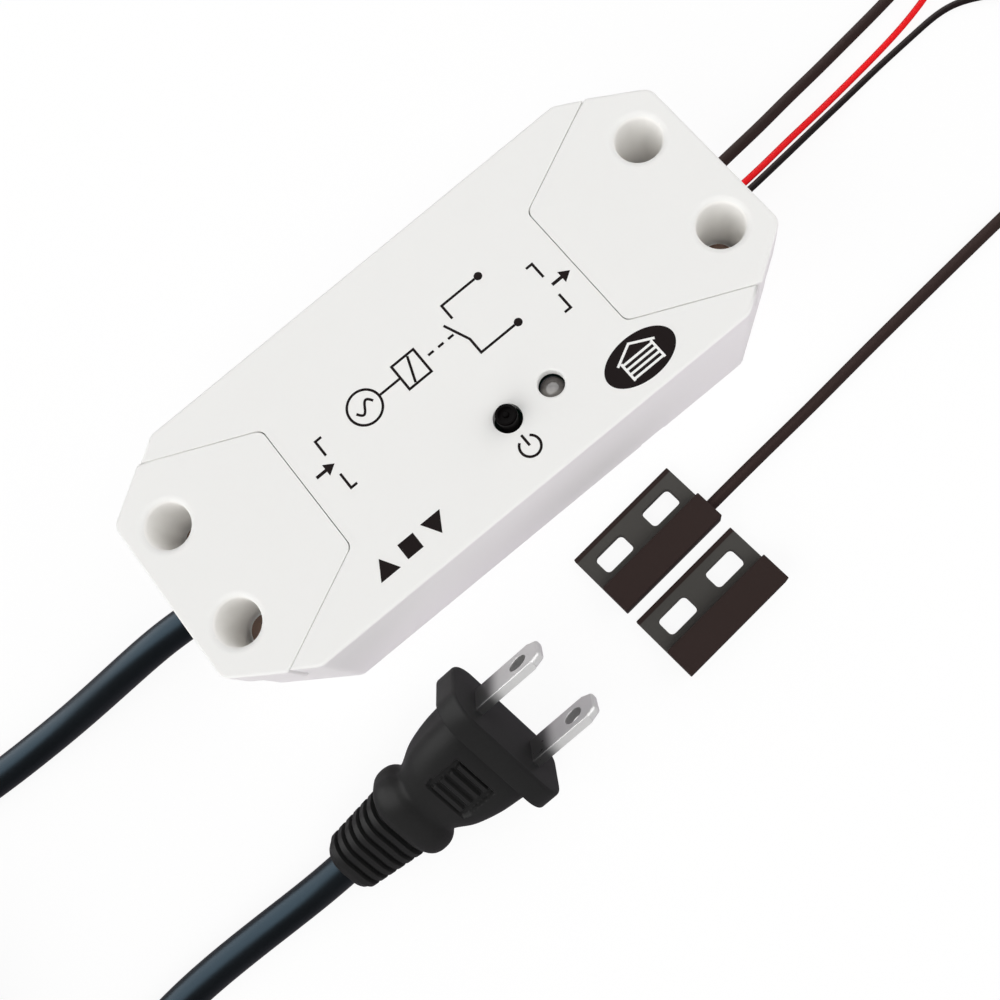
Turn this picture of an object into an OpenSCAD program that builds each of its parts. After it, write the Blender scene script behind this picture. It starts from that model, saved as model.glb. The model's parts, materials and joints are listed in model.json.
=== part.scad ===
// Garage door controller: an inline mains relay box with a plug lead, two output wires,
// and a wired door sensor with its magnet. The origin is the middle of the base, +Z is up,
// +X runs from the mains end to the output end.

/* [Housing] */
// Length over both end covers
housing_l = 110; // [100:1:125]
// Width over the long sides
housing_w = 47.4; // [46:0.2:56]
// Height from the base to the top face
housing_h = 24; // [23.5:0.5:32]
// Width of the end edge between its slanted corners
end_w = 30.6; // [29:0.2:34]
// Length of the straight part of a long side
side_l = 84.8; // [80:0.2:90]
// Wall of the housing's sides
wall = 2; // [1.6:0.1:2.3]
// Thickness of the housing's top and of the covers' tops
top_t = 2; // [1.6:0.1:2.4]
// Thickness of the base plate
base_t = 2; // [1.6:0.1:2.4]
// Rounding of the housing's upright corners
corner_r = 2.5; // [1:0.1:3.5]
// Gap along a moulded seam
seam = 0.15; // [0.1:0.05:0.4]
// Gap between the base plate and the wall around it
base_gap = 0.15; // [0.1:0.05:0.3]
// Width of the ledge that the base plate is drawn up against
ledge_w = 1.2; // [0.8:0.1:1.3]
// Height of that ledge
ledge_h = 1.5; // [1:0.1:2]
// Length of the slot for prising the base plate out
pry_l = 5; // [3:0.5:8]
// Height of that slot
pry_h = 0.8; // [0.5:0.1:1.5]
// Place of that slot along the housing
pry_x = 22; // [0:1:30]

/* [End covers] */
// Length of a cover along the middle of the housing
cover_l = 27.8; // [26:0.2:29]
// Length of a cover where its seam meets the slanted corner
cover_ear_l = 8.7; // [8:0.1:9.5]
// Width of a cover's straight inner edge
cover_inner_w = 24; // [22:0.2:26]
// Depth of a cover's rim below the top face
cover_drop = 9.5; // [8:0.5:11]
// How far a cover stands outside the housing's slanted corners
cover_proud = 0.4; // [0.2:0.05:0.6]
// Width of the lip that carries a cover on each side of its seam
lip_w = 1.5; // [1:0.1:2]
// Thickness of that lip
lip_t = 1.2; // [1:0.1:1.6]

/* [Cover screws] */
// Distance of the screws from the end of the housing
screw_in = 7; // [6.8:0.1:7.4]
// Distance of the screws from the middle line
screw_y = 9.8; // [9.6:0.1:10.4]
// Diameter of the deep screw hole
counterbore_d = 7.6; // [6.8:0.1:8]
// Wall of the tube round the screw hole
tube_wall = 1.4; // [1:0.1:1.5]
// Height at which a screw head sits
screw_seat = 8; // [7.5:0.1:9]
// Thickness of the tube's bottom under the head
tube_floor = 2; // [1.5:0.1:2.5]
// Diameter of the screw's head
screw_head_d = 5.6; // [5:0.1:6]
// Height of the screw's head
screw_head_h = 2.2; // [1.6:0.1:2.5]
// Diameter of the screw's shank
screw_d = 2.9; // [2.5:0.1:3.2]
// Diameter of a base post
post_d = 6.2; // [5.5:0.1:6.3]
// Thread clearance of every screw in its post
thread_gap = 0.05; // [0.03:0.01:0.1]

/* [Button and lamp] */
// Place of the button
button_at = [3.7, -12.2]; // [-30:0.1:30]
// Place of the lamp
lamp_at = [12.2, -12.2]; // [-30:0.1:30]
// Diameter of the button's stem
button_d = 3.5; // [3:0.1:3.8]
// Diameter of the hole round the button
button_hole_d = 4.7; // [4.4:0.1:5.2]
// Height of the button above the top face
button_proud = 2.2; // [0.6:0.1:3]
// Travel of the button
button_travel = 0.3; // [0.2:0.05:0.4]
// Running clearance of the stem in its switch
stem_gap = 0.05; // [0.03:0.01:0.1]
// Width of the switch's square body
switch_w = 6; // [5.8:0.1:6.6]
// Height of the switch's body
switch_h = 3.8; // [3.6:0.1:4.4]
// Diameter of the lamp
lamp_d = 3; // [2.6:0.1:3.2]
// Diameter of the hole over the lamp
lamp_hole_d = 4.3; // [4:0.1:4.8]
// Depth of the lamp's dome below the top face
lamp_drop = 2; // [1:0.1:3]
// Length of the lamp from its foot to the dome
lamp_h = 5.2; // [4.8:0.1:5.6]

/* [Circuit board] */
// Gap between the screw tubes and the cord clamp
clamp_tube_gap = 0.6; // [0.4:0.1:1]
// Gap between the cord clamp and the board
board_clamp_gap = 4.2; // [3.8:0.1:5]
// Gap between the screw tubes and the other end of the board
board_tube_gap = 2.8; // [2:0.1:4]
// Width of the board
board_w = 38; // [37:0.5:39]
// Thickness of the board
board_t = 1.6; // [1:0.1:2]
// Gap under the board
board_lift = 2.2; // [2:0.1:2.6]
// Distance of the board's screws from its edges
board_screw_in = 3; // [2.8:0.1:3.5]
// Diameter of the board's posts
board_post_d = 5; // [4.5:0.1:5.4]
// Diameter of the board's screws
board_screw_d = 2; // [1.8:0.1:2.3]

/* [Relay] */
// Length of the relay's case
relay_l = 19.2; // [18.6:0.1:20]
// Width of the relay's case
relay_w = 15.4; // [14.6:0.1:16]
// Height of the relay with its base
relay_h = 15.2; // [14.8:0.1:15.4]
// Wall of the relay's case
relay_wall = 0.8; // [0.6:0.1:1]
// Swing of the armature in degrees
relay_swing = 4; // [3:0.5:4.5]

/* [Leads] */
// Height at which every lead leaves the housing
exit_z = 10; // [9.5:0.1:10.5]
// Diameter of the mains lead
mains_d = 5.8; // [5:0.1:6]
// Diameter of the sensor's cable
sensor_d = 2; // [1.6:0.1:2.2]
// Diameter of an output wire
wire_d = 1.2; // [1:0.05:1.3]
// Clearance of a lead in its hole
hole_gap = 0.25; // [0.15:0.05:0.3]
// Clearance of the mains lead in its clamp
clamp_gap = 0.1; // [0.05:0.05:0.15]
// Place of the sensor cable's hole across the end
sensor_exit_y = 2.8; // [2.6:0.1:3.2]
// Place of the red wire's hole across the end
red_exit_y = -2.4; // [-2.4:0.1:-1.8]
// Place of the black wire's hole across the end
black_exit_y = -3.8; // [-3.9:0.1:-3.8]
// Gap between neighbouring turns of a coil
turn_gap = 0.6; // [0.5:0.05:0.8]
// Thickness of a coil's tie
tie_t = 0.6; // [0.5:0.1:1]
// Gap between a coil and its tie
tie_gap = 0.2; // [0.15:0.05:0.3]

/* [Plug] */
// Width of the plug's flange
flange_w = 24; // [23:0.5:26]
// Height of the plug's flange
flange_h = 15.4; // [14.4:0.2:16.4]
// Depth of the plug's flange
flange_t = 3.7; // [3:0.1:4.5]
// Length of the plug from its face to the cord
plug_l = 35; // [33:0.5:38]
// Distance between the blades
blade_pitch = 12.7; // [12.5:0.1:13]
// Length of a blade outside the face
blade_l = 13; // [12.6:0.1:15]
// Width of a blade
blade_w = 6.35; // [6:0.05:6.5]
// Thickness of a blade
blade_t = 1.5; // [1.3:0.05:1.6]
// Diameter of a blade's hole
blade_hole_d = 3.2; // [3:0.1:3.4]
// Distance of that hole from the face
blade_hole_x = 8.8; // [8:0.1:9.4]
// Depth of a blade inside the plug
blade_root = 7; // [5:0.5:9]

/* [Door sensor] */
// Length of the sensor and of the magnet
sensor_l = 22; // [21:0.5:24]
// Width of the sensor and of the magnet
sensor_w = 12.5; // [12:0.1:14]
// Height of the raised block
sensor_h = 5; // [4.8:0.1:6]
// Thickness of the flange with the screw slots
sensor_flange_t = 1.8; // [1.5:0.1:2.4]
// Width of the raised block
sensor_block_w = 5.4; // [5:0.1:6]
// Length of a screw slot
slot_l = 6.2; // [5.6:0.1:6.6]
// Width of a screw slot
slot_w = 3.4; // [3:0.1:3.8]
// Distance between the slots' middles
slot_pitch = 10.9; // [10:0.1:11.5]
// Distance of the slots from the flange's outer edge
slot_in = 4.1; // [3.6:0.1:4.4]
// Gap between the sensor and the magnet at rest
pair_gap = 2; // [1:0.1:4]

/* [Hidden] */
$fn = 48;

// Overlap that keeps cuts clean
eps = 1;
// Small step between faces that only just clear each other
hair = 0.05;

// Heights in the housing
rim_z = housing_h - cover_drop;
under_top = housing_h - top_t;
tube_z = screw_seat - tube_floor;
tube_d = counterbore_d + 2 * tube_wall;
board_z = base_t + board_lift;
deck = board_z + board_t;

// Corner radii that follow the walls
inner_r = max(0.4, corner_r - wall);
cover_tip_r = 1.8;
recess_tip_r = 1.4;
cover_corner_r = [cover_tip_r, 0.5, corner_r, corner_r, 0.5, cover_tip_r];

// Inner side of the screw tubes, and the cord clamp behind the mains hole
tube_x = housing_l / 2 - screw_in - tube_d / 2;
clamp_l = 4;
clamp_at = [clamp_tube_gap + clamp_l / 2 - tube_x, 0];

// Ends of the board
board_x0 = clamp_at.x + clamp_l / 2 + board_clamp_gap;
board_x1 = tube_x - board_tube_gap;
board_l = board_x1 - board_x0;
board_x = (board_x0 + board_x1) / 2;

// Places of repeated pieces
end_screws = [for (sx = [-1, 1], sy = [-1, 1]) [sx * (housing_l / 2 - screw_in), sy * screw_y]];
board_screws_at = [for (x = [board_x0 + board_screw_in, board_x1 - board_screw_in], sy = [-1, 1])
    [x, sy * (board_w / 2 - board_screw_in)]];

// Unit vector along v
function unit(v) = v / norm(v);

// Corner b of an outline drawn as an arc of radius r in n steps
function arc(a, b, c, r, n = 5) =
    let (
        u = unit(a - b),
        v = unit(c - b),
        half = acos(u * v) / 2,
        o = b + unit(u + v) * r / sin(half),
        s = b + u * r / tan(half) - o,
        e = b + v * r / tan(half) - o,
        from = atan2(s.y, s.x),
        turn = (atan2(e.y, e.x) - from + 540) % 360 - 180
    )
    [for (i = [0:n]) o + r * [cos(from + turn * i / n), sin(from + turn * i / n)]];

// Outline p with rounded corners, r being one radius or a list of them
function rounded(p, r) =
    [for (i = [0:len(p) - 1])
        each arc(p[(i + len(p) - 1) % len(p)], p[i], p[(i + 1) % len(p)], is_list(r) ? r[i] : r)];

// Rectangle of half sizes a and b with corners of radius r
function slab(a, b, r) = rounded([[a, b], [-a, b], [-a, -b], [a, -b]], r);

// Normal of the slanted corner, and its distance from the middle of the housing
slant_n = unit([(housing_w - end_w) / 2, (housing_l - side_l) / 2]);
slant_c = slant_n * [side_l / 2, housing_w / 2];

// Outline of the housing, its ends and slanted corners moved in by e and its long sides by s
function plan(e, s) =
    let (
        x = housing_l / 2 - e,
        y = housing_w / 2 - s,
        a = [(slant_c - e - slant_n.y * y) / slant_n.x, y],
        b = [x, (slant_c - e - slant_n.x * x) / slant_n.y]
    )
    [a, b, [b.x, -b.y], [a.x, -a.y], [-a.x, -a.y], [-b.x, -b.y], [-b.x, b.y], [-a.x, a.y]];

// Outline of the output end's cover, its seam moved out by g
function cover_plan(g) =
    let (
        inner = [housing_l / 2 - cover_l, cover_inner_w / 2],
        ear_x = housing_l / 2 - cover_ear_l,
        ear = [ear_x, (slant_c - slant_n.x * ear_x) / slant_n.y],
        along = unit(ear - inner),
        edge = inner + g * [-along.y, along.x],
        p = edge + along * (inner.x - g - edge.x) / along.x,
        q = edge + along * (slant_c - slant_n * edge) / (slant_n * along),
        k = [housing_l / 2, end_w / 2]
    )
    [p, q, k, [k.x, -k.y], [q.x, -q.y], [p.x, -p.y]];

// Outline of the recess round that cover, its inner corners rounded
recess_plan =
    let (p = cover_plan(seam), r = recess_tip_r)
    concat(arc(p[5], p[0], p[1], r), [p[1], p[2], p[3], p[4]], arc(p[4], p[5], p[0], r));

// Upright solid of an outline between two heights
module prism(z0, z1, outline) {
    translate([0, 0, z0]) linear_extrude(z1 - z0) polygon(outline);
}

// Upright round bar between two heights
module bar(z0, z1, d) {
    translate([0, 0, z0]) cylinder(h = z1 - z0, d = d);
}

// Block on the board, size s, its middle at p
module block(p, s, z = deck) {
    translate([p.x - s.x / 2, p.y - s.y / 2, z]) cube(s);
}

// Children at both ends of the housing
module both_ends() {
    children();
    rotate(180) children();
}

// Housing

module main_shell() {
    color([0.93, 0.93, 0.92]) difference() {
        union() {
            difference() {
                prism(0, housing_h, rounded(plan(cover_proud, 0), corner_r));
                prism(-eps, under_top, rounded(plan(cover_proud + wall, wall), inner_r));
                both_ends() prism(rim_z - seam, housing_h + eps, recess_plan);
            }
            base_ledge();
            both_ends() cover_lip();
        }
        translate(button_at) bar(under_top - eps, housing_h + eps, button_hole_d);
        translate(lamp_at) bar(under_top - eps, housing_h + eps, lamp_hole_d);
        for (p = end_screws) translate(p) bar(tube_z - seam, rim_z, tube_d + 2 * seam);
        end_hole(-1, 0, mains_d);
        end_hole(1, sensor_exit_y, sensor_d);
        end_hole(1, red_exit_y, wire_d);
        end_hole(1, black_exit_y, wire_d);
        translate([pry_x - pry_l / 2, -housing_w / 2 - eps, -eps]) cube([pry_l, wall + 2 * eps, eps + pry_h]);
    }
}

// Ledge inside the wall, above the base plate
module base_ledge() {
    difference() {
        prism(base_t, base_t + ledge_h, plan(cover_proud + wall / 2, wall / 2));
        prism(base_t - eps, base_t + ledge_h + eps, plan(cover_proud + wall + ledge_w, wall + ledge_w));
    }
}

// Lip under a cover's seam
module cover_lip() {
    intersection() {
        difference() {
            prism(under_top - lip_t, under_top, cover_plan(lip_w + seam));
            prism(under_top - lip_t - eps, under_top + eps, cover_plan(-lip_w));
        }
        prism(under_top - lip_t - eps, under_top + eps, plan(cover_proud + wall + seam, wall / 2));
    }
}

// Hole for a lead through an end wall
module end_hole(side, y, d) {
    translate([side * (housing_l / 2 - wall), y, exit_z]) rotate([0, 90, 0])
        cylinder(h = 2 * wall + 2 * eps, d = d + 2 * hole_gap, center = true);
}

module base_plate() {
    color([0.9, 0.9, 0.89]) difference() {
        union() {
            prism(0, base_t, rounded(plan(cover_proud + wall + base_gap, wall + base_gap), inner_r));
            for (p = end_screws) translate(p) bar(base_t - hair, tube_z, post_d);
            for (p = board_screws_at) translate(p) bar(base_t - hair, board_z, board_post_d);
            block(clamp_at, [clamp_l, clamp_w, saddle_z - base_t + hair], base_t - hair);
        }
        for (p = end_screws) translate(p) pilot(screw_tip, tube_z, screw_d);
        for (p = board_screws_at) translate(p) pilot(board_screw_tip, board_z, board_screw_d);
        clamp_cuts();
    }
}

// Blind hole for a screw of diameter d between its point and the top of its post
module pilot(tip, top, d) {
    bar(tip - 0.3, top + eps, d + 2 * thread_gap);
}

// End cover as it sits on the output end
module end_cover() {
    outline = rounded(cover_plan(0), cover_corner_r);
    screws = [for (sy = [-1, 1]) [housing_l / 2 - screw_in, sy * screw_y]];
    difference() {
        union() {
            prism(under_top, housing_h, outline);
            difference() {
                prism(rim_z, under_top + hair, outline);
                prism(rim_z - eps, under_top, plan(wall, wall));
            }
            for (p = screws) translate(p) bar(tube_z, under_top + hair, tube_d);
        }
        for (p = screws) translate(p) {
            bar(screw_seat, housing_h + eps, counterbore_d);
            bar(tube_z - eps, screw_seat + eps, screw_d + 0.5);
        }
    }
}

module input_cover() {
    color([0.94, 0.94, 0.93]) rotate(180) end_cover();
}

module output_cover() {
    color([0.94, 0.94, 0.93]) end_cover();
}

// Length of a cover screw below its head, down to just above the base's underside
screw_tip = 1;

// Pan-head screw with a cross slot, its head standing on z, its point at tip
module screw(z, head_d, head_h, d, tip) {
    difference() {
        union() {
            bar(z, z + head_h, head_d);
            bar(tip, z + hair, d);
        }
        for (a = [0, 90]) rotate(a) translate([-head_d * 0.3, -head_d * 0.06, z + head_h * 0.5])
            cube([head_d * 0.6, head_d * 0.12, head_h]);
    }
}

module cover_screws() {
    color([0.72, 0.66, 0.55]) for (p = end_screws) translate(p)
        screw(screw_seat, screw_head_d, screw_head_h, screw_d, screw_tip);
}

// Cord clamp

clamp_w = 17;
clamp_t = 3;
clamp_slack = 0.4;
clamp_screw_d = 2.4;
clamp_screw_y = mains_d / 2 + 2.9;
saddle_z = exit_z - clamp_slack / 2;
clamp_top = exit_z + mains_d / 2 + clamp_t - 1;
clamp_tip = base_t + 1;

// Groove for the lead and holes for the two screws
module clamp_cuts() {
    translate([clamp_at.x - clamp_l, 0, exit_z]) rotate([0, 90, 0])
        cylinder(h = 2 * clamp_l, d = mains_d + 2 * clamp_gap);
    for (sy = [-1, 1]) translate([clamp_at.x, sy * clamp_screw_y]) pilot(clamp_tip, clamp_top, clamp_screw_d);
}

module cord_clamp() {
    color([0.86, 0.86, 0.84]) difference() {
        block(clamp_at, [clamp_l, clamp_w, clamp_top - saddle_z - clamp_slack], saddle_z + clamp_slack);
        clamp_cuts();
    }
}

module clamp_screws() {
    color("silver") for (sy = [-1, 1]) translate([clamp_at.x, sy * clamp_screw_y])
        screw(clamp_top, 4, 1.4, clamp_screw_d, clamp_tip);
}

// Circuit board and what stands on it

board_screw_tip = 0.8;
terminal_h = 10;
terminal_l = 8;
input_pitch = 5.08;
output_pitch = 3.81;
input_terminal_at = [board_x0 + terminal_l / 2 + 0.5, 0];
output_terminal_at = [board_x1 - terminal_l / 2 - 0.5, 0];
input_face = input_terminal_at.x - terminal_l / 2;
output_face = output_terminal_at.x + terminal_l / 2;
input_ways = [for (i = [-0.5, 0.5]) i * input_pitch];
output_ways = [for (i = [-1.5, -0.5, 0.5, 1.5]) i * output_pitch];

module main_board() {
    color([0.1, 0.35, 0.2]) difference() {
        block([board_x, 0], [board_l, board_w, board_t], board_z);
        for (p = board_screws_at) translate(p) bar(board_z - eps, deck + eps, board_screw_d + 0.4);
    }
}

module board_screws() {
    color("silver") for (p = board_screws_at) translate(p)
        screw(deck, 3.8, 1.4, board_screw_d, board_screw_tip);
}

// Screw terminal: a block with a wire hole facing side and a screw hole on top for each way
module terminal(p, side, ways, pitch) {
    difference() {
        block(p, [terminal_l, len(ways) * pitch, terminal_h]);
        for (y = ways) {
            translate([p.x + side * terminal_l / 2, p.y + y, exit_z]) rotate([0, 90, 0])
                cylinder(h = terminal_l, d = 2.8, center = true);
            translate([p.x, p.y + y]) bar(terminal_screw_z, deck + terminal_h + eps, terminal_screw_d + 0.4);
        }
    }
}

terminal_screw_d = 2.8;
terminal_screw_z = deck + terminal_h / 2 + 0.8;

module input_terminal() {
    color([0.1, 0.5, 0.25]) terminal(input_terminal_at, -1, input_ways, input_pitch);
}

module output_terminal() {
    color([0.1, 0.5, 0.25]) terminal(output_terminal_at, 1, output_ways, output_pitch);
}

module terminal_screw(p) {
    difference() {
        translate(p) bar(terminal_screw_z, deck + terminal_h - 0.6, terminal_screw_d);
        block(p, [terminal_screw_d + eps, 0.6, 2], deck + terminal_h - 1.4);
    }
}

module terminal_screws() {
    color("silver") {
        for (y = input_ways) terminal_screw(input_terminal_at + [0, y]);
        for (y = output_ways) terminal_screw(output_terminal_at + [0, y]);
    }
}

// Two straight wire legs from a part down through the board
module legs(p, gap, top, d = 0.7) {
    for (s = [-0.5, 0.5]) translate(p + s * gap) bar(deck, top, d);
}

fuse_at = [board_x0 + 3.6, -10.5];

// Resistor on end, its upper lead bent over and down to the board
module fuse_resistor() {
    turn = [0, 3.4];
    color([0.35, 0.55, 0.4]) {
        translate(fuse_at) {
            bar(deck, deck + 9.4, 0.8);
            bar(deck + 0.6, deck + 8.6, 3.4);
        }
        translate(fuse_at + turn) bar(deck, deck + 9.4, 0.8);
        block(fuse_at + turn / 2, [0.8, turn.y + 0.8, 0.8], deck + 9);
    }
}

varistor_at = [board_x0 + 4.4, 10.5];

module varistor() {
    color([0.15, 0.3, 0.6]) {
        translate([varistor_at.x, varistor_at.y, deck + 5.2]) rotate([0, 90, 0])
            cylinder(h = 3.6, d = 8, center = true);
        legs(varistor_at, [0, 5], deck + 3);
    }
}

transformer_at = [-7.5, -10];
core_size = [13, 12.4, 7];
core_leg = 4.6;
core_window = 2.8;
winding_l = 9;
winding_t = 2.2;

// Core with a window on each side of its middle leg
module transformer_core() {
    color([0.18, 0.18, 0.18]) difference() {
        block(transformer_at, core_size, deck + winding_t);
        for (s = [-1, 1]) block(transformer_at + [0, s * (core_leg + core_window) / 2],
            [winding_l + 0.4, core_window, core_size.z + 2 * eps], deck + winding_t - eps);
    }
}

// Winding round the middle leg
module transformer_winding() {
    color([0.85, 0.7, 0.2]) difference() {
        block(transformer_at, [winding_l, core_leg + 2 * winding_t + 0.2, core_size.z + 2 * winding_t + 0.2]);
        block(transformer_at, [winding_l + 2 * eps, core_leg + 0.2, core_size.z + 0.2], deck + winding_t);
    }
}

capacitors_at = [[-19.5, -13.5, 8, 12], [22, -11.5, 6.3, 11]];

module capacitors() {
    color([0.12, 0.12, 0.16]) for (c = capacitors_at) translate([c.x, c.y]) bar(deck, deck + c[3], c[2]);
}

module rectifier() {
    color([0.12, 0.12, 0.12]) block([-11, -1.2], [4.8, 4, 2.6]);
}

// Relay

relay_at = [14.6, 8.6];
relay_floor = deck + 1;
relay_top = deck + relay_h;
core_at = relay_at - [1.6, 0];
core_d = 4;
coil_gap = 0.1;
bobbin_d = 9;
hinge_x = relay_at.x + 4.9;
plate_t = 1;
arm_z = relay_top - relay_wall - 1.9;
yoke_t = 1.2;
coil_z = relay_floor + yoke_t;
reach = hinge_x - core_at.x + core_d / 2;
core_top = arm_z - reach * sin(relay_swing) - hair;
contact_x = relay_at.x - 7.4;
contact_drop = (hinge_x - contact_x + 1.2) * sin(relay_swing);

// Relay plate from x0 to x1, w wide and t high, standing on z
module plate(x0, x1, w, t, z) {
    translate([x0, relay_at.y - w / 2, z]) cube([x1 - x0, w, t]);
}

module relay_base() {
    color([0.1, 0.1, 0.12]) block(relay_at, [relay_l, relay_w, relay_floor - deck]);
}

module relay_case() {
    inside = [relay_l - 2 * relay_wall, relay_w - 2 * relay_wall, relay_top - relay_wall - relay_floor + eps];
    color([0.1, 0.3, 0.75]) difference() {
        block(relay_at, [relay_l, relay_w, relay_top - relay_floor], relay_floor);
        block(relay_at, inside, relay_floor - eps);
    }
}

module relay_yoke() {
    color([0.6, 0.6, 0.62]) {
        plate(core_at.x - 3, hinge_x, 8, yoke_t, relay_floor);
        plate(hinge_x - yoke_t, hinge_x, 8, arm_z - 0.1 - relay_floor, relay_floor);
        translate(core_at) bar(relay_floor + yoke_t - hair, core_top, core_d);
    }
}

module relay_coil() {
    top = core_top - 0.3;
    color([0.75, 0.4, 0.15]) translate(core_at) difference() {
        union() {
            bar(coil_z, coil_z + 0.8, bobbin_d);
            bar(coil_z, top, bobbin_d - 1.4);
            bar(top - 0.8, top, bobbin_d);
        }
        bar(coil_z - eps, top + eps, core_d + 2 * coil_gap);
    }
}

module relay_armature() {
    color([0.7, 0.7, 0.72]) {
        plate(core_at.x - 3, hinge_x + 0.6, 7, plate_t, arm_z);
        plate(contact_x - 1.2, core_at.x, 3, 0.4, arm_z + plate_t - 0.4);
        translate([contact_x, relay_at.y]) bar(arm_z, arm_z + plate_t, 2);
    }
}

module relay_contact() {
    top = arm_z - contact_drop - hair;
    color([0.8, 0.7, 0.4]) {
        plate(contact_x - 1, contact_x - 0.4, 3, top - 0.6 - relay_floor, relay_floor);
        plate(contact_x - 1, contact_x + 1, 3, 0.4, top - 0.9);
        translate([contact_x, relay_at.y]) bar(top - 0.6, top, 1.8);
    }
}

// Radio module

wifi_at = [-10, 9.5];

module wifi_board() {
    color([0.05, 0.15, 0.3]) block(wifi_at, [24, 16, 0.8]);
}

module wifi_shield() {
    color([0.75, 0.75, 0.77]) block(wifi_at - [3, 0], [15, 12, 2.4], deck + 0.8);
}

// Button, its switch and the lamp

switch_floor = deck + 0.6;
dome_h = 0.25;
stem_foot = switch_floor + dome_h + button_travel + hair;
collar_h = 0.6;
collar_d = button_d + 1.1;

module switch_body() {
    color([0.15, 0.15, 0.15]) difference() {
        block(button_at, [switch_w, switch_w, switch_h]);
        translate(button_at) {
            bar(switch_floor, stem_foot + collar_h + hair, collar_d + 0.4);
            bar(switch_floor, deck + switch_h + eps, button_d + 2 * stem_gap);
        }
    }
}

module switch_dome() {
    color("silver") translate([button_at.x, button_at.y, switch_floor])
        cylinder(h = dome_h, d1 = collar_d, d2 = 3);
}

module button() {
    color([0.06, 0.06, 0.06]) translate(button_at) {
        bar(stem_foot, housing_h + button_proud, button_d);
        bar(stem_foot, stem_foot + collar_h, collar_d);
    }
}

lamp_foot = housing_h - lamp_drop - lamp_h;
lamp_rim_d = lamp_d + 0.8;
lead_w = 0.5;

// Straight body with a round dome and a rim at its foot
module lamp() {
    r = lamp_d / 2;
    color([0.9, 0.9, 0.92, 0.6]) translate([lamp_at.x, lamp_at.y, lamp_foot]) rotate_extrude() polygon(concat(
        [[0, 0], [lamp_rim_d / 2, 0], [lamp_rim_d / 2, 1], [r, 1]],
        [for (a = [0:10:90]) [r * cos(a), lamp_h - r + r * sin(a)]]
    ));
}

module lamp_leads() {
    color("silver") for (s = [-1, 1]) block(lamp_at + [s * 1.27, 0], [lead_w, lead_w, lamp_foot - deck]);
}

module lamp_spacer() {
    color([0.92, 0.92, 0.9]) difference() {
        translate(lamp_at) bar(deck, lamp_foot, lamp_rim_d);
        for (s = [-1, 1]) block(lamp_at + [s * 1.27, 0],
            [lead_w + 0.1, lead_w + 0.1, lamp_foot - deck + 2 * eps], deck - eps);
    }
}

// Tubes along a line of points

// Direction of the line at its point i
function heading(p, i) = unit(p[min(i + 1, len(p) - 1)] - p[max(i - 1, 0)]);

// Ring of n points round point i, square to the line
function ring(p, i, r, n) =
    let (
        t = heading(p, i),
        s = unit(cross(t, [0, 0, 1])),
        u = cross(s, t)
    )
    [for (k = [0:n - 1]) p[i] + r * (cos(360 * k / n) * s + sin(360 * k / n) * u)];

// Closed tube of diameter d with n sides along the points p
module tube(p, d, n) {
    last = (len(p) - 1) * n;
    polyhedron(
        points = [for (i = [0:len(p) - 1]) each ring(p, i, d / 2, n)],
        faces = concat(
            [for (i = [0:n:last - 1], k = [0:n - 1]) [i + k, i + (k + 1) % n, i + n + k]],
            [for (i = [0:n:last - 1], k = [0:n - 1]) [i + (k + 1) % n, i + n + (k + 1) % n, i + n + k]],
            [for (k = [1:n - 2]) [0, k + 1, k]],
            [for (k = [1:n - 2]) [last, last + k, last + k + 1]]
        ),
        convexity = 10
    );
}

// Steady rise from 0 to 1 that starts and ends level
function ease(s) = s <= 0 ? 0 : s >= 1 ? 1 : s * s * (3 - 2 * s);

// Coil: [middle, inner radius, turns in a layer, cord diameter, way round, rings in a turn, start angle]
function coil_step(c) = c[3] + turn_gap;
function coil_out(c) = c[1] + c[2] * coil_step(c);
function coil_low(c) = tie_t + tie_gap + c[3] / 2;
function coil_high(c) = coil_low(c) + coil_step(c);

// Point of a coil t turns along: in on the floor, up where the spiral turns back, and out on top
function coil_point(c, t) =
    let (
        r = c[1] + coil_step(c) * abs(c[2] - t),
        a = c[6] + c[4] * 360 * t
    )
    [c[0].x + r * cos(a), c[0].y + r * sin(a), coil_low(c) + coil_step(c) * ease((t - c[2]) * 2 + 0.5)];

// Way that the cord runs past a coil's ends
function coil_way(c, a) = c[4] * [-sin(a), cos(a), 0];
function coil_start(c) = coil_point(c, 0) - c[3] * coil_way(c, c[6]);
function coil_end(c) = coil_point(c, 2 * c[2]) + c[3] * coil_way(c, c[6] + c[4] * 720 * c[2]);
function coil_line(c) =
    concat([coil_start(c)], [for (i = [0:2 * c[2] * c[5]]) coil_point(c, i / c[5])], [coil_end(c)]);

// Least gap of a coil to itself, between points at least half a turn apart
function coil_gap_of(c) =
    let (p = coil_line(c), n = len(p) - 1, skip = round(c[5] / 2))
    min([for (i = [0:n - skip]) min([for (j = [i + skip:n]) norm(p[i] - p[j])])]) - c[3];

mains_turns = [[-166, -20], 22, 2.75, mains_d, 1, 24, 90];
sensor_turns = [[163, -8], 5.5, 4.75, sensor_d, -1, 20, 90];
red_turns = [[131, 3], 3.6, 2.5, wire_d, -1, 18, 90];
black_turns = [[133, -16], 3.6, 2.5, wire_d, -1, 18, 90];
coil_sides = 6;

echo(str("least gaps: mains ", coil_gap_of(mains_turns), ", sensor ", coil_gap_of(sensor_turns),
    ", red ", coil_gap_of(red_turns), ", black ", coil_gap_of(black_turns)));

// Door sensor's place and turn, and where its cable goes in
sensor_at = [9.7, -36.9];
sensor_turn = 5.5;
block_y = (sensor_block_w - sensor_w) / 2;
cable_z = 2.5;
cable_in = 3;

// Point of the sensor's own frame in the part's frame
function sensor_point(x, y, z) =
    let (c = cos(sensor_turn), s = sin(sensor_turn))
    [sensor_at.x + x * c - y * s, sensor_at.y + x * s + y * c, z];

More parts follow.
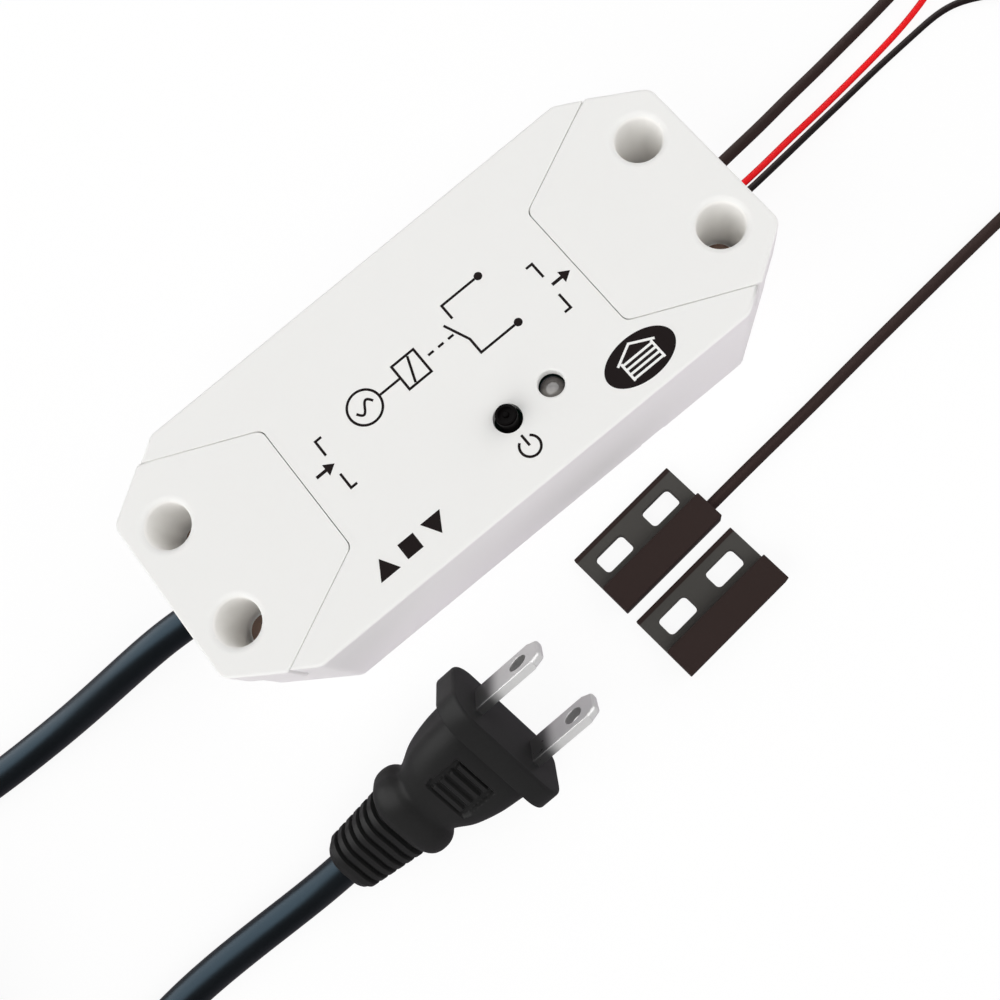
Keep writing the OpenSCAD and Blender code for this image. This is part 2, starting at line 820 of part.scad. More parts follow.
// Plug's pose: its face's middle, its nose lifted by plug_pitch and its body turned by plug_roll
plug_at = [-26.8, -47.1, 11.55];
plug_pitch = 11.6;
plug_roll = 30;
plug_way = [cos(plug_pitch), 0, sin(plug_pitch)];
plug_tail = plug_at - plug_l * plug_way;

// Routes of the free stretches: where the cord lies and bends, each end straight for a diameter
mains_inner = [clamp_at.x + clamp_l / 2 + 1, 0, exit_z];
mains_lie = mains_d / 2 + hair;
mains_route = [
    mains_inner, [-46, 0, exit_z], [-56, 0.1, exit_z], [-62, 0.5, 9.8], [-70, 0.9, 8.4], [-78, 1.4, 6],
    [-86, 1.9, 3.9], [-94, 2.2, mains_lie + 0.1], [-104, 2.6, mains_lie], [-114, 3.8, mains_lie],
    [-126, 7.6, mains_lie + 0.1], [-138, 12.9, mains_lie + 0.3], [-150, 17.2, mains_lie + 0.6],
    coil_start(mains_turns) + [mains_d, 0, 0], coil_start(mains_turns)
];
mains_tail_route = [
    coil_end(mains_turns), coil_end(mains_turns) + [mains_d, 0, 0], [-146, -59.2, 9.2], [-136, -57.6, 6.3],
    [-126, -54.6, 3.9], [-116, -51.2, mains_lie + 0.1], [-106, -48.4, mains_lie], [-96, -47, mains_lie],
    [-86, -46.7, mains_lie], [-76, -46.9, mains_lie], plug_tail - mains_d * plug_way, plug_tail
];
sensor_route = [
    [output_face + 4.5, sensor_exit_y, exit_z], [50, sensor_exit_y, exit_z],
    [56, sensor_exit_y, exit_z], [62, 3.4, 9.4], [70, 4.9, 6.8], [78, 6.7, 3.8], [86, 8.1, 1.7],
    [94, 9.1, 1.1], [104, 10.2, 1.1], [114, 11.8, 1.1], [124, 13.8, 1.1], [134, 14.2, 1.2], [146, 11.2, 1.6],
    coil_start(sensor_turns) - [sensor_d, 0, 0], coil_start(sensor_turns)
];
sensor_tail_route = [
    coil_end(sensor_turns), coil_end(sensor_turns) - [sensor_d, 0, 0], [148, -26.8, 2.8], [138, -28.2, 1.5],
    [126, -29.8, 1.1], [112, -31.2, 1.1], [98, -32.4, 1.1], [84, -33.5, 1.1], [70, -34.7, 1.1],
    [56, -36, 1.1], [44, -37.2, 1.3], [34, -38.1, 1.8], sensor_point(sensor_l / 2 + 4, block_y, cable_z),
    sensor_point(sensor_l / 2, block_y, cable_z), sensor_point(sensor_l / 2 - cable_in, block_y, cable_z)
];
red_route = [
    [output_face - 2, output_ways[1], exit_z], [output_face + 1.5, output_ways[1], exit_z],
    [47, red_exit_y, exit_z], [57, red_exit_y, exit_z], [63, -1.9, 9.4], [71, -0.4, 6.8], [79, 1.2, 3.6],
    [87, 2.6, 1.3], [95, 3.6, 0.7], [104, 4.9, 0.7], [114, 7.6, 0.8], [122, 10.4, 1],
    coil_start(red_turns) - [wire_d, 0, 0], coil_start(red_turns)
];
black_route = [
    [output_face - 2, output_ways[0], exit_z], [output_face + 1.5, output_ways[0], exit_z],
    [47, black_exit_y, exit_z], [57, black_exit_y, exit_z], [63, -3.4, 9.4], [71, -2, 6.8], [79, -0.4, 3.6],
    [87, 0.9, 1.3], [95, 1.7, 0.7], [104, 2.2, 0.7], [112, 1.8, 0.7], [119, -2, 0.8], [125, -6, 1],
    coil_start(black_turns) - [wire_d, 0, 0], coil_start(black_turns)
];

module mains_cord() {
    color([0.1, 0.1, 0.11]) tube(mains_route, mains_d, 12);
}

module mains_coil() {
    color([0.1, 0.1, 0.11]) tube(coil_line(mains_turns), mains_d, coil_sides);
}

module mains_tail() {
    color([0.1, 0.1, 0.11]) tube(mains_tail_route, mains_d, 12);
}

module sensor_cable() {
    color([0.15, 0.12, 0.12]) tube(sensor_route, sensor_d, 8);
}

module sensor_coil() {
    color([0.15, 0.12, 0.12]) tube(coil_line(sensor_turns), sensor_d, coil_sides);
}

module sensor_tail() {
    color([0.15, 0.12, 0.12]) tube(sensor_tail_route, sensor_d, 8);
}

module red_wire() {
    color([0.85, 0.05, 0.05]) tube(red_route, wire_d, 8);
}

module red_coil() {
    color([0.85, 0.05, 0.05]) tube(coil_line(red_turns), wire_d, coil_sides);
}

module black_wire() {
    color([0.1, 0.1, 0.1]) tube(black_route, wire_d, 8);
}

module black_coil() {
    color([0.1, 0.1, 0.1]) tube(coil_line(black_turns), wire_d, coil_sides);
}

// Flat strap of width w round a coil's turns, at angle a
module tie(c, a, w) {
    half = (coil_out(c) - c[1] + c[3]) / 2 + tie_gap;
    top = coil_high(c) + c[3] / 2 + tie_gap;
    middle = (coil_out(c) + c[1]) / 2;
    translate([c[0].x, c[0].y, 0]) rotate(a) translate([middle, 0, (top + tie_t) / 2]) rotate([90, 0, 0])
        linear_extrude(w, center = true) difference() {
            polygon(slab(half + tie_t, (top + tie_t) / 2, 1));
            polygon(slab(half, (top - tie_t) / 2, 0.4));
        }
}

module mains_tie() {
    color([0.08, 0.08, 0.08]) tie(mains_turns, 180, 5);
}

module sensor_tie() {
    color([0.08, 0.08, 0.08]) tie(sensor_turns, 0, 3);
}

module wire_ties() {
    color([0.08, 0.08, 0.08]) {
        tie(red_turns, -30, 2);
        tie(black_turns, -30, 2);
    }
}

// Tinned ends of the output wires
module wire_tips() {
    color("silver") for (c = [red_turns, black_turns]) translate(coil_end(c)) rotate([0, 90, 0])
        cylinder(h = 5, d = wire_d * 0.6);
}

// Cores between the leads' jackets and the terminals

module mains_leads() {
    color([0.9, 0.9, 0.9]) for (y = input_ways) tube([
        mains_inner + [0, sign(y) * 1.3, 0],
        mains_inner + [0.6, sign(y) * 1.3, 0],
        [input_face - 0.6, y, exit_z],
        [input_face + 2, y, exit_z]
    ], 1.8, 8);
}

module sensor_leads() {
    from = sensor_route[0];
    color([0.9, 0.9, 0.9]) for (i = [2, 3]) tube([
        from + [0, (i - 2.5) * 0.9, 0],
        from + [-0.8, (i - 2.5) * 0.9, 0],
        [output_face + 0.8, output_ways[i], exit_z],
        [output_face - 2, output_ways[i], exit_z]
    ], 0.8, 8);
}

// Plug

// Pose of the plug: its nose along its own +X, its blades side by side along its own +Y
module posed_plug() {
    translate(plug_at) rotate([0, -plug_pitch, 0]) rotate([plug_roll, 0, 0]) children();
}

// Cross section at x with half sizes a and b, as points square to the nose
function section(s) = [for (q = slab(s[1], s[2], s[3])) [s[0], q.x, q.y]];

// Solid through a row of cross sections
module loft(sections) {
    rings = [for (s = sections) section(s)];
    n = len(rings[0]);
    last = (len(rings) - 1) * n;
    polyhedron(
        points = [for (r = rings) each r],
        faces = concat(
            [for (i = [0:n:last - 1], k = [0:n - 1]) [i + k, i + (k + 1) % n, i + n + k]],
            [for (i = [0:n:last - 1], k = [0:n - 1]) [i + (k + 1) % n, i + n + (k + 1) % n, i + n + k]],
            [for (k = [1:n - 2]) [0, k + 1, k]],
            [for (k = [1:n - 2]) [last, last + k, last + k + 1]]
        ),
        convexity = 10
    );
}

// Ribbed sleeve behind the plug: count ribs from x0 back to x1, each a land and a groove
ribs = 6;
sleeve_x0 = -23;
groove = 0.8;
rib_l = (plug_l + sleeve_x0 - 1.2) / ribs;
function sleeve(x) =
    let (f = (sleeve_x0 - x) / (plug_l + sleeve_x0))
    [x, 6.1 - 1.1 * f, 4.7 - 0.8 * f, 3.6 - 0.3 * f];
function grooved(s) = [s[0], s[1] - groove, s[2] - groove, s[3] - groove];
sleeve_sections = [for (i = [0:ribs - 1]) each
    let (x = sleeve_x0 - i * rib_l)
    [grooved(sleeve(x - 0.1 * rib_l)), grooved(sleeve(x - 0.4 * rib_l)),
        sleeve(x - 0.5 * rib_l), sleeve(x - rib_l)]];

// Cross sections of the plug's body from its face back: place, half width, half height, corner radius
plug_sections = concat(
    [
        [0, flange_w / 2 - 0.6, flange_h / 2 - 0.6, 4],
        [-0.7, flange_w / 2, flange_h / 2, 4.5],
        [-flange_t, flange_w / 2, flange_h / 2, 4.5],
        [-flange_t - hair, 9.3, 6, 4],
        [-10, 8.8, 5.9, 4.2],
        [-14, 7.8, 5.6, 4.4],
        [-16.4, 6.6, 5, 4.2],
        [-17.2, 6.4, 4.85, 4.2],
        [-18.4, 7.2, 5.45, 4.6],
        [-20, 7.7, 5.85, 4.8],
        [-21.8, 7.4, 5.65, 4.6],
        [sleeve_x0, 6, 4.7, 3.8]
    ],
    sleeve_sections,
    [[-plug_l, 4.2, 3.4, 3]]
);

// Slots for the blades' roots, tight all round
blade_fit = 0.05;

module plug_body() {
    slot = [blade_root + blade_fit + eps, blade_t + 2 * blade_fit, blade_w + 2 * blade_fit];
    color([0.12, 0.12, 0.12]) posed_plug() difference() {
        loft(plug_sections);
        for (sy = [-1, 1]) translate([eps - slot.x / 2, sy * blade_pitch / 2, 0]) cube(slot, center = true);
        grip_recess();
    }
}

// Shallow pocket with raised ribs on both broad sides of the grip
module grip_recess() {
    for (sz = [-1, 1]) translate([-10.2, 0, sz * 6.2]) difference() {
        cube([6.6, 8.4, 1.6], center = true);
        for (i = [-1.5:1:1.5]) translate([i * 1.7, 0, 0]) cube([0.9, 6.4, 1.6], center = true);
    }
}

// Blade with a hole and tapered point, lying in the plug's own frame
module blade() {
    tip = 1.6;
    outline = [
        [-blade_root, blade_w / 2], [-blade_root, -blade_w / 2], [blade_l - tip, -blade_w / 2],
        [blade_l, -blade_w / 2 + 1], [blade_l, blade_w / 2 - 1], [blade_l - tip, blade_w / 2]
    ];
    rotate([90, 0, 0]) linear_extrude(blade_t, center = true) difference() {
        polygon(outline);
        translate([blade_hole_x, 0]) circle(d = blade_hole_d);
    }
}

module plug_blades() {
    color([0.8, 0.8, 0.82]) posed_plug() for (sy = [-1, 1]) translate([0, sy * blade_pitch / 2, 0]) blade();
}

// Door sensor and magnet

flange_y = sensor_w / 2 - slot_in;
pocket_w = 3.4;
pocket_l = 15;
pocket_h = 3.7;
potting_t = 0.8;
reed_w = 0.5;
reed_t = 0.2;

module sensor_pose(step = 0) {
    translate([sensor_at.x, sensor_at.y, 0]) rotate(sensor_turn)
        translate([0, -step * (sensor_w + pair_gap), 0]) children();
}

// Flanged case with two screw slots and a pocket in the underside of its raised block
module flanged_case() {
    difference() {
        union() {
            translate([-sensor_l / 2, -sensor_w / 2, 0]) cube([sensor_l, sensor_w, sensor_flange_t]);
            translate([-sensor_l / 2, -sensor_w / 2, 0]) cube([sensor_l, sensor_block_w, sensor_h]);
        }
        for (s = [-0.5, 0.5]) translate([s * slot_pitch, flange_y, 0])
            prism(-eps, sensor_flange_t + eps, slab(slot_l / 2, slot_w / 2, 0.8));
        translate([-pocket_l / 2, block_y - pocket_w / 2, -eps]) cube([pocket_l, pocket_w, pocket_h + eps]);
    }
}

module sensor_housing() {
    color([0.24, 0.22, 0.21]) sensor_pose() difference() {
        flanged_case();
        translate([sensor_l / 2 - cable_in, block_y, cable_z]) rotate([0, 90, 0])
            cylinder(h = cable_in + eps, d = sensor_d + 2 * clamp_gap);
        translate([pocket_l / 2 - eps, block_y, cable_z]) rotate([0, 90, 0])
            cylinder(h = cable_in + eps, d = 1.4);
    }
}

capsule_l = 10;
capsule_d = 2.2;

// Pose of the capsule inside the raised block
module capsule_pose() {
    translate([0, block_y, cable_z]) rotate([0, 90, 0]) children();
}

module reed_capsule() {
    color([0.6, 0.8, 0.7, 0.5]) sensor_pose() capsule_pose() difference() {
        cylinder(h = capsule_l, d = capsule_d, center = true);
        cylinder(h = capsule_l - 2, d = capsule_d - 0.7, center = true);
        cylinder(h = capsule_l + 2 * eps, d = 1, center = true);
    }
}

// Two flat reeds that overlap with a small gap in the middle of the capsule
module reed_blades() {
    color("silver") sensor_pose() for (s = [-1, 1]) translate([s * 3.1, block_y + s * reed_t, cable_z])
        cube([7.6, reed_t, reed_w], center = true);
}

// Resin in the pocket up to the reeds, with a trough for the capsule
module sensor_potting() {
    color([0.1, 0.1, 0.1]) sensor_pose() difference() {
        block([0, block_y], [pocket_l, pocket_w, cable_z - reed_w / 2], 0);
        capsule_pose() cylinder(h = capsule_l + 0.4, d = capsule_d + 0.1, center = true);
    }
}

module magnet_housing() {
    color([0.24, 0.22, 0.21]) sensor_pose(1) flanged_case();
}

module magnet_bar() {
    color([0.5, 0.5, 0.52]) sensor_pose(1)
        block([0, block_y], [pocket_l - 0.4, pocket_w - 0.2, pocket_h - potting_t - 0.1], potting_t);
}

module magnet_potting() {
    color([0.1, 0.1, 0.1]) sensor_pose(1) block([0, block_y], [pocket_l, pocket_w, potting_t], 0);
}

main_shell();
base_plate();
input_cover();
output_cover();
cover_screws();
main_board();
board_screws();
input_terminal();
output_terminal();
terminal_screws();
fuse_resistor();
varistor();
transformer_core();
transformer_winding();
capacitors();
rectifier();
relay_base();
relay_case();
relay_yoke();
relay_coil();
relay_armature();
relay_contact();
wifi_board();
wifi_shield();
switch_body();
switch_dome();
button();
lamp();
lamp_leads();
lamp_spacer();
cord_clamp();
clamp_screws();
mains_leads();
sensor_leads();
mains_cord();
mains_coil();
mains_tail();
mains_tie();
plug_body();
plug_blades();
sensor_cable();
sensor_coil();
sensor_tail();
sensor_tie();
sensor_housing();
reed_capsule();
reed_blades();
sensor_potting();
magnet_housing();
magnet_bar();
magnet_potting();
red_wire();
red_coil();
black_wire();
black_coil();
wire_ties();
wire_tips();
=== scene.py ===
"""Looks of the garage door controller: cords, cases, plug, button, lamp, print and light."""

import json
from math import cos, pi, radians, sin

import bmesh
import bpy
import numpy as np
from mathutils import Matrix, Vector


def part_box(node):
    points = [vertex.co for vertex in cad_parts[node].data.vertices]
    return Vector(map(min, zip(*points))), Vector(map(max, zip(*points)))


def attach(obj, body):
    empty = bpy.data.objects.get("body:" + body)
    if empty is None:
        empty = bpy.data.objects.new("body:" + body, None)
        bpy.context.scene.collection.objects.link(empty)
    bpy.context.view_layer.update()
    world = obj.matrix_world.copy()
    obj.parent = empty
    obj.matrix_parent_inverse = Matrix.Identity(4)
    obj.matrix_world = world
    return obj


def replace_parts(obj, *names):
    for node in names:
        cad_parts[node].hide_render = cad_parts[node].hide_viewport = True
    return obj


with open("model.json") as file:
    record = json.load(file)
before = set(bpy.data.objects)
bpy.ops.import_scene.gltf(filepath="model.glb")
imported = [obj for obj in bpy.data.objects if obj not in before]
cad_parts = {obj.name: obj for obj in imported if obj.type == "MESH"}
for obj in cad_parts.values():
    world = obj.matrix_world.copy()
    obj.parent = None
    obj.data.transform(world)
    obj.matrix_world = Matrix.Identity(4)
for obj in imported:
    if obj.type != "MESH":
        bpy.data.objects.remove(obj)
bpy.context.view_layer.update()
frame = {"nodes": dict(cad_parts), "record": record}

NODES = frame["nodes"]
RECORD = frame["record"]
SCENE = bpy.context.scene
MM = 0.001
BOX = "controller"


# Camera

CAMERA_EYE = (-0.0067, -0.0641, 0.1911)
CAMERA_RIGHT = (0.77220, -0.61722, -0.15080)
CAMERA_DOWN = (-0.63531, -0.74670, -0.19701)
CAMERA_LENS = 41.26
CAMERA_SENSOR = 36
CAMERA_NEAR = 0.005


def unit(vectors):
    """Vectors divided by their lengths, along the last axis."""
    return vectors / np.linalg.norm(vectors, axis=-1, keepdims=True)


def make_camera():
    """Camera at the eye point, its axes squared up from the picture's right and down directions."""
    data = bpy.data.cameras.new("camera")
    data.sensor_width = CAMERA_SENSOR
    data.lens = CAMERA_LENS
    data.clip_start = CAMERA_NEAR
    right = unit(np.array(CAMERA_RIGHT))
    down = np.array(CAMERA_DOWN)
    down = unit(down - right * (down @ right))
    axes = np.eye(4)
    axes[:3, 0] = right
    axes[:3, 1] = -down
    axes[:3, 2] = -np.cross(right, down)
    axes[:3, 3] = CAMERA_EYE
    camera = bpy.data.objects.new("camera", data)
    camera.matrix_world = Matrix(axes.tolist())
    SCENE.collection.objects.link(camera)
    SCENE.camera = camera


# Meshes from grids

SHARP_ANGLE = radians(38)


def grid_faces(rows, columns, first=0, looped=False):
    """Quads between the rows of a grid whose columns close round, and its rows too if looped."""
    index = first + np.arange(rows * columns).reshape(rows, columns)
    index = np.column_stack([index, index[:, :1]])
    if looped:
        index = np.vstack([index, index[:1]])
    corners = [index[:-1, :-1], index[:-1, 1:], index[1:, 1:], index[1:, :-1]]
    return np.stack(corners, -1).reshape(-1, 4).tolist()


def closed_grid(grid, first=0, looped=False):
    """Points and faces of a closed form: rows of points round it, looped, or with a cap on each end."""
    rows, columns = grid.shape[:2]
    end = first + (rows - 1) * columns
    caps = [list(range(first + columns - 1, first - 1, -1)), list(range(end, end + columns))]
    return grid.reshape(-1, 3), grid_faces(rows, columns, first, looped) + ([] if looped else caps)


def add_piece(name, points, faces, finish, body=BOX):
    """Object of those points, in millimetres, riding on a body, smooth but for its sharp edges."""
    mesh = bpy.data.meshes.new(name)
    mesh.from_pydata((np.asarray(points) * MM).tolist(), [], faces)
    mesh.update()
    return show_mesh(name, mesh, finish, body)


def show_mesh(name, mesh, finish, body):
    """Object of a mesh with its finish and body."""
    mesh.shade_smooth()
    mesh.set_sharp_from_angle(angle=SHARP_ANGLE)
    mesh.materials.clear()
    mesh.materials.append(finish)
    piece = bpy.data.objects.new(name, mesh)
    SCENE.collection.objects.link(piece)
    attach(piece, body)
    return piece


# Places of the plug, the door sensor, the button and the lamp, in millimetres as in the part's source

PLUG_AT = np.array([-26.8, -47.1, 11.55])
PLUG_PITCH = radians(11.6)
PLUG_ROLL = radians(30)
PLUG_LENGTH = 35
BLADE_HOLE_X = 8.8
BLADE_HOLE_R = 1.6
SENSOR_AT = np.array([9.7, -36.9, 0])
SENSOR_TURN = radians(5.5)
MAGNET_AWAY = 14.5
CASE_HALF_W = 6.25
BUTTON_AT = (3.7, -12.2)
LAMP_AT = (12.2, -12.2)
LAMP_HOLE_R = 2.15


def turn_matrix(angle, first, second):
    """Turn by an angle that carries the first axis toward the second."""
    matrix = np.eye(3)
    matrix[[first, second], [first, second]] = cos(angle)
    matrix[first, second] = -sin(angle)
    matrix[second, first] = sin(angle)
    return matrix


PLUG_TURN = turn_matrix(PLUG_PITCH, 0, 2) @ turn_matrix(PLUG_ROLL, 1, 2)
PLUG_WAY, PLUG_ASIDE, PLUG_UP = PLUG_TURN.T
PLUG_TAIL = PLUG_AT - PLUG_LENGTH * PLUG_WAY
SENSOR_ALONG, SENSOR_ASIDE, UPWARDS = turn_matrix(SENSOR_TURN, 0, 1).T
MAGNET_AT = SENSOR_AT - MAGNET_AWAY * SENSOR_ASIDE


# Finishes

GRAIN_INPUTS = {
    "Colour": ("NodeSocketColor", (0.5, 0.5, 0.5, 1)),
    "Tone Spread": ("NodeSocketFloat", 0.1),
    "Rough": ("NodeSocketFloat", 0.5),
    "Rough Spread": ("NodeSocketFloat", 0.1),
    "Drift Scale": ("NodeSocketFloat", 60),
    "Grain Scale": ("NodeSocketFloat", 2000),
}
GRAIN_OUTPUTS = {"Colour": "NodeSocketColor", "Rough": "NodeSocketFloat", "Height": "NodeSocketFloat"}
REACH_INPUTS = {
    "Point": "NodeSocketVector",
    "Way": "NodeSocketVector",
    "Low": "NodeSocketFloat",
    "High": "NodeSocketFloat",
}


def put(tree, kind, **settings):
    """New node of a tree with its settings."""
    node = tree.nodes.new(kind)
    for name, value in settings.items():
        setattr(node, name, value)
    return node


def math(tree, operation, a, b):
    """Math node on two values, each a socket or a number; gives its output."""
    node = put(tree, "ShaderNodeMath", operation=operation)
    for socket, value in zip(node.inputs, (a, b)):
        if isinstance(value, (int, float)):
            socket.default_value = value
        else:
            tree.links.new(value, socket)
    return node.outputs[0]


def make_grain():
    """Shader group: a broad drift and a fine grain, both noise on object coordinates.

    Colour is the input colour times one plus the drift, Rough adds a little of both to the input
    roughness, and Height is the grain alone."""
    tree = bpy.data.node_groups.new("moulded_grain", "ShaderNodeTree")
    for name, (kind, value) in GRAIN_INPUTS.items():
        tree.interface.new_socket(name, in_out="INPUT", socket_type=kind).default_value = value
    for name, kind in GRAIN_OUTPUTS.items():
        tree.interface.new_socket(name, in_out="OUTPUT", socket_type=kind)
    given = put(tree, "NodeGroupInput").outputs
    result = put(tree, "NodeGroupOutput").inputs
    place = put(tree, "ShaderNodeTexCoord").outputs["Object"]
    noise = []
    for scale, detail in (("Drift Scale", 3), ("Grain Scale", 2)):
        node = put(tree, "ShaderNodeTexNoise")
        node.inputs["Detail"].default_value = detail
        tree.links.new(place, node.inputs["Vector"])
        tree.links.new(given[scale], node.inputs["Scale"])
        noise.append(math(tree, "SUBTRACT", node.outputs["Fac"], 0.5))
    drift, grain = noise
    both = math(tree, "ADD", drift, math(tree, "MULTIPLY", grain, 0.5))
    tone = math(tree, "ADD", math(tree, "MULTIPLY", both, given["Tone Spread"]), 1)
    scaled = put(tree, "ShaderNodeVectorMath", operation="SCALE")
    tree.links.new(given["Colour"], scaled.inputs[0])
    tree.links.new(tone, scaled.inputs["Scale"])
    tree.links.new(scaled.outputs[0], result["Colour"])
    rough = math(tree, "ADD", math(tree, "MULTIPLY", both, given["Rough Spread"]), given["Rough"])
    tree.links.new(rough, result["Rough"])
    tree.links.new(grain, result["Height"])
    return tree


def make_reach():
    """Shader group: a mask that rises from 0 to 1 between two distances from a point, along a way."""
    tree = bpy.data.node_groups.new("reach_mask", "ShaderNodeTree")
    for name, kind in REACH_INPUTS.items():
        tree.interface.new_socket(name, in_out="INPUT", socket_type=kind)
    tree.interface.new_socket("Mask", in_out="OUTPUT", socket_type="NodeSocketFloat")
    given = put(tree, "NodeGroupInput").outputs
    away = put(tree, "ShaderNodeVectorMath", operation="SUBTRACT")
    tree.links.new(put(tree, "ShaderNodeTexCoord").outputs["Object"], away.inputs[0])
    tree.links.new(given["Point"], away.inputs[1])
    along = put(tree, "ShaderNodeVectorMath", operation="DOT_PRODUCT")
    tree.links.new(away.outputs[0], along.inputs[0])
    tree.links.new(given["Way"], along.inputs[1])
    rise = put(tree, "ShaderNodeMapRange", interpolation_type="SMOOTHSTEP")
    tree.links.new(along.outputs["Value"], rise.inputs["Value"])
    tree.links.new(given["Low"], rise.inputs["From Min"])
    tree.links.new(given["High"], rise.inputs["From Max"])
    tree.links.new(rise.outputs["Result"], put(tree, "NodeGroupOutput").inputs["Mask"])
    return tree


GRAIN = make_grain()
REACH = make_reach()

# Look of each class of material in the record
CLASS_LOOKS = {
    "matte_plastic": {"rough": 0.5, "bump": 0.12},
    "gloss_plastic": {"rough": 0.3, "bump": 0.05},
    "rubber": {"rough": 0.45, "bump": 0.1},
    "chrome": {"rough": 0.16, "bump": 0.03, "Metallic": 1.0},
    "brushed_steel": {"rough": 0.34, "bump": 0.08, "Metallic": 1.0},
    "brass": {"rough": 0.3, "bump": 0.06, "Metallic": 1.0},
    "cast_iron": {"rough": 0.62, "bump": 0.25},
    "glass": {"rough": 0.03, "bump": 0.0, "Transmission Weight": 1.0, "IOR": 1.5},
}

# What the slots in view change in that look; past each of its bands a slot shows its second colour.
# These bands paint light and shade onto the parts.
# Painted shade: the sensor cases' block, from this height up, darker than their flange, though both are
# one plastic
CASE_BLOCK_SHADE = (np.zeros(3), UPWARDS, 1.9, 2.4)
# Painted shade: the flange's far edge as dark as the block
CASE_RIM_SHADE = (CASE_HALF_W - 0.95, CASE_HALF_W - 0.75)
# Painted reflection and shade: the blades dark near their roots, standing for the plug's black face
# mirrored in them and its shadow
BLADE_ROOT_REFLECTION_AND_SHADE = (PLUG_AT, PLUG_WAY, 2.2, 5.4)
# Painted highlight: the lens lighter on its front side, the rest of it darker as painted shade
LENS_PAINTED_HIGHLIGHT = (np.array([*LAMP_AT, 0]), np.array([-0.65, -0.76, 0]), -0.2, 0.9)
SLOT_LOOKS = {
    "white_case": {
        "colour": (0.93, 0.93, 0.912), "tone": 0.02, "rough": 0.5, "drift": 35, "bump": 0.04,
        "Specular IOR Level": 0.03,
    },
    "black_button": {"colour": (0.0018, 0.0014, 0.0014), "rough": 0.3, "Specular IOR Level": 0.014},
    # Lens: a dark colour as painted shade, turning to a lighter one on its front side as painted
    # highlight
    "clear_lens": {
        "colour": (0.22, 0.2, 0.19), "second": (0.5, 0.47, 0.44), "bands": [LENS_PAINTED_HIGHLIGHT], "tone": 0.3,
        "rough": 0.08, "Transmission Weight": 0.5,
    },
    # Screws: brown, partly their plating's own tone and partly painted shade, as they sit at the bottom
    # of the deep wells
    "screw_steel": {"colour": (0.13, 0.08, 0.06), "tone": 0.4, "Metallic": 0.4},
    # Board: a dark green solder mask, darkened further as painted shade inside the housing
    "board_green": {"colour": (0.012, 0.035, 0.02)},
    # Blades: the first colour is the painted reflection and shade at the roots; past the band the second
    # colour is the blades' own pale metal
    "blade_metal": {
        "colour": (0.05, 0.05, 0.05), "second": (0.68, 0.68, 0.675), "bands": [BLADE_ROOT_REFLECTION_AND_SHADE],
        "tone": 0.06, "rough": 0.3, "grain": 1400, "bump": 0.02, "Metallic": 0.1,
    },
    "mains_jacket": {
        "colour": (0.005, 0.0054, 0.006), "rough": 0.36, "drift": 90, "Specular IOR Level": 0.26,
        "Specular Tint": (0.47, 0.76, 1, 1),
    },
    "sensor_jacket": {"colour": (0.034, 0.022, 0.02), "rough": 0.5, "Specular IOR Level": 0.04},
    "red_insulation": {"colour": (0.9, 0.01, 0.014), "rough": 0.35, "Specular IOR Level": 0.1},
    "black_insulation": {"colour": (0.016, 0.012, 0.012), "rough": 0.4, "Specular IOR Level": 0.06},
    "plug_vinyl": {
        "colour": (0.018, 0.018, 0.018), "tone": 0.3, "rough": 0.46, "Specular IOR Level": 0.09,
    },
    # Sensor cases: the flange's colour, and as second colour the painted shade of the block and the far
    # edge
    "sensor_case": {
        "colour": (0.074, 0.071, 0.066), "second": (0.036, 0.025, 0.023), "bands": [CASE_BLOCK_SHADE],
        "tone": 0.15, "rough": 0.6, "bump": 0.1, "Specular IOR Level": 0.01,
    },
}
# Painted light: the deep wells' walls a lighter copy of the case's white, to brighten the holes
WELL_LOOK = {"tone": 0.01, "rough": 0.6, "bump": 0.02, "Specular IOR Level": 0.03}
WELL_LIGHTENED_COLOUR = (0.985, 0.975, 0.95)
# Painted shade: the walls of the holes through the blades dark grey
BORE_LOOK = {"rough": 0.3, "bump": 0, "Metallic": 0.2}
BORE_SHADE_COLOUR = (0.26, 0.26, 0.255)
INK_LOOK = {"rough": 0.5, "bump": 0.05, "Specular IOR Level": 0.02}
INK_COLOUR = (0.012, 0.009, 0.009)
CUP_COLOUR = (0.2, 0.17, 0.15)
LOOK_DEFAULTS = {"tone": 0.15, "rough spread": 0.12, "drift": 60, "grain": 2200, "bands": []}
BUMP_DEPTH = 0.00006

# Sockets of a mix node that mixes colours
MIX_FIRST = 6
MIX_SECOND = 7
MIX_RESULT = 2


def show_bands(tree, grain, first, second, bands):
    """The grain's colour turns from the first to the second one where any of the bands has begun."""
    begun = 0.0
    for point, way, low, high in bands:
        reach = put(tree, "ShaderNodeGroup", node_tree=REACH)
        values = {"Point": point * MM, "Way": way, "Low": low * MM, "High": high * MM}
        for socket, value in values.items():
            reach.inputs[socket].default_value = value
        begun = math(tree, "MAXIMUM", begun, reach.outputs["Mask"])
    mix = put(tree, "ShaderNodeMix", data_type="RGBA")
    tree.links.new(begun, mix.inputs["Factor"])
    mix.inputs[MIX_FIRST].default_value = (*first, 1)
    mix.inputs[MIX_SECOND].default_value = (*second, 1)
    tree.links.new(mix.outputs[MIX_RESULT], grain.inputs["Colour"])


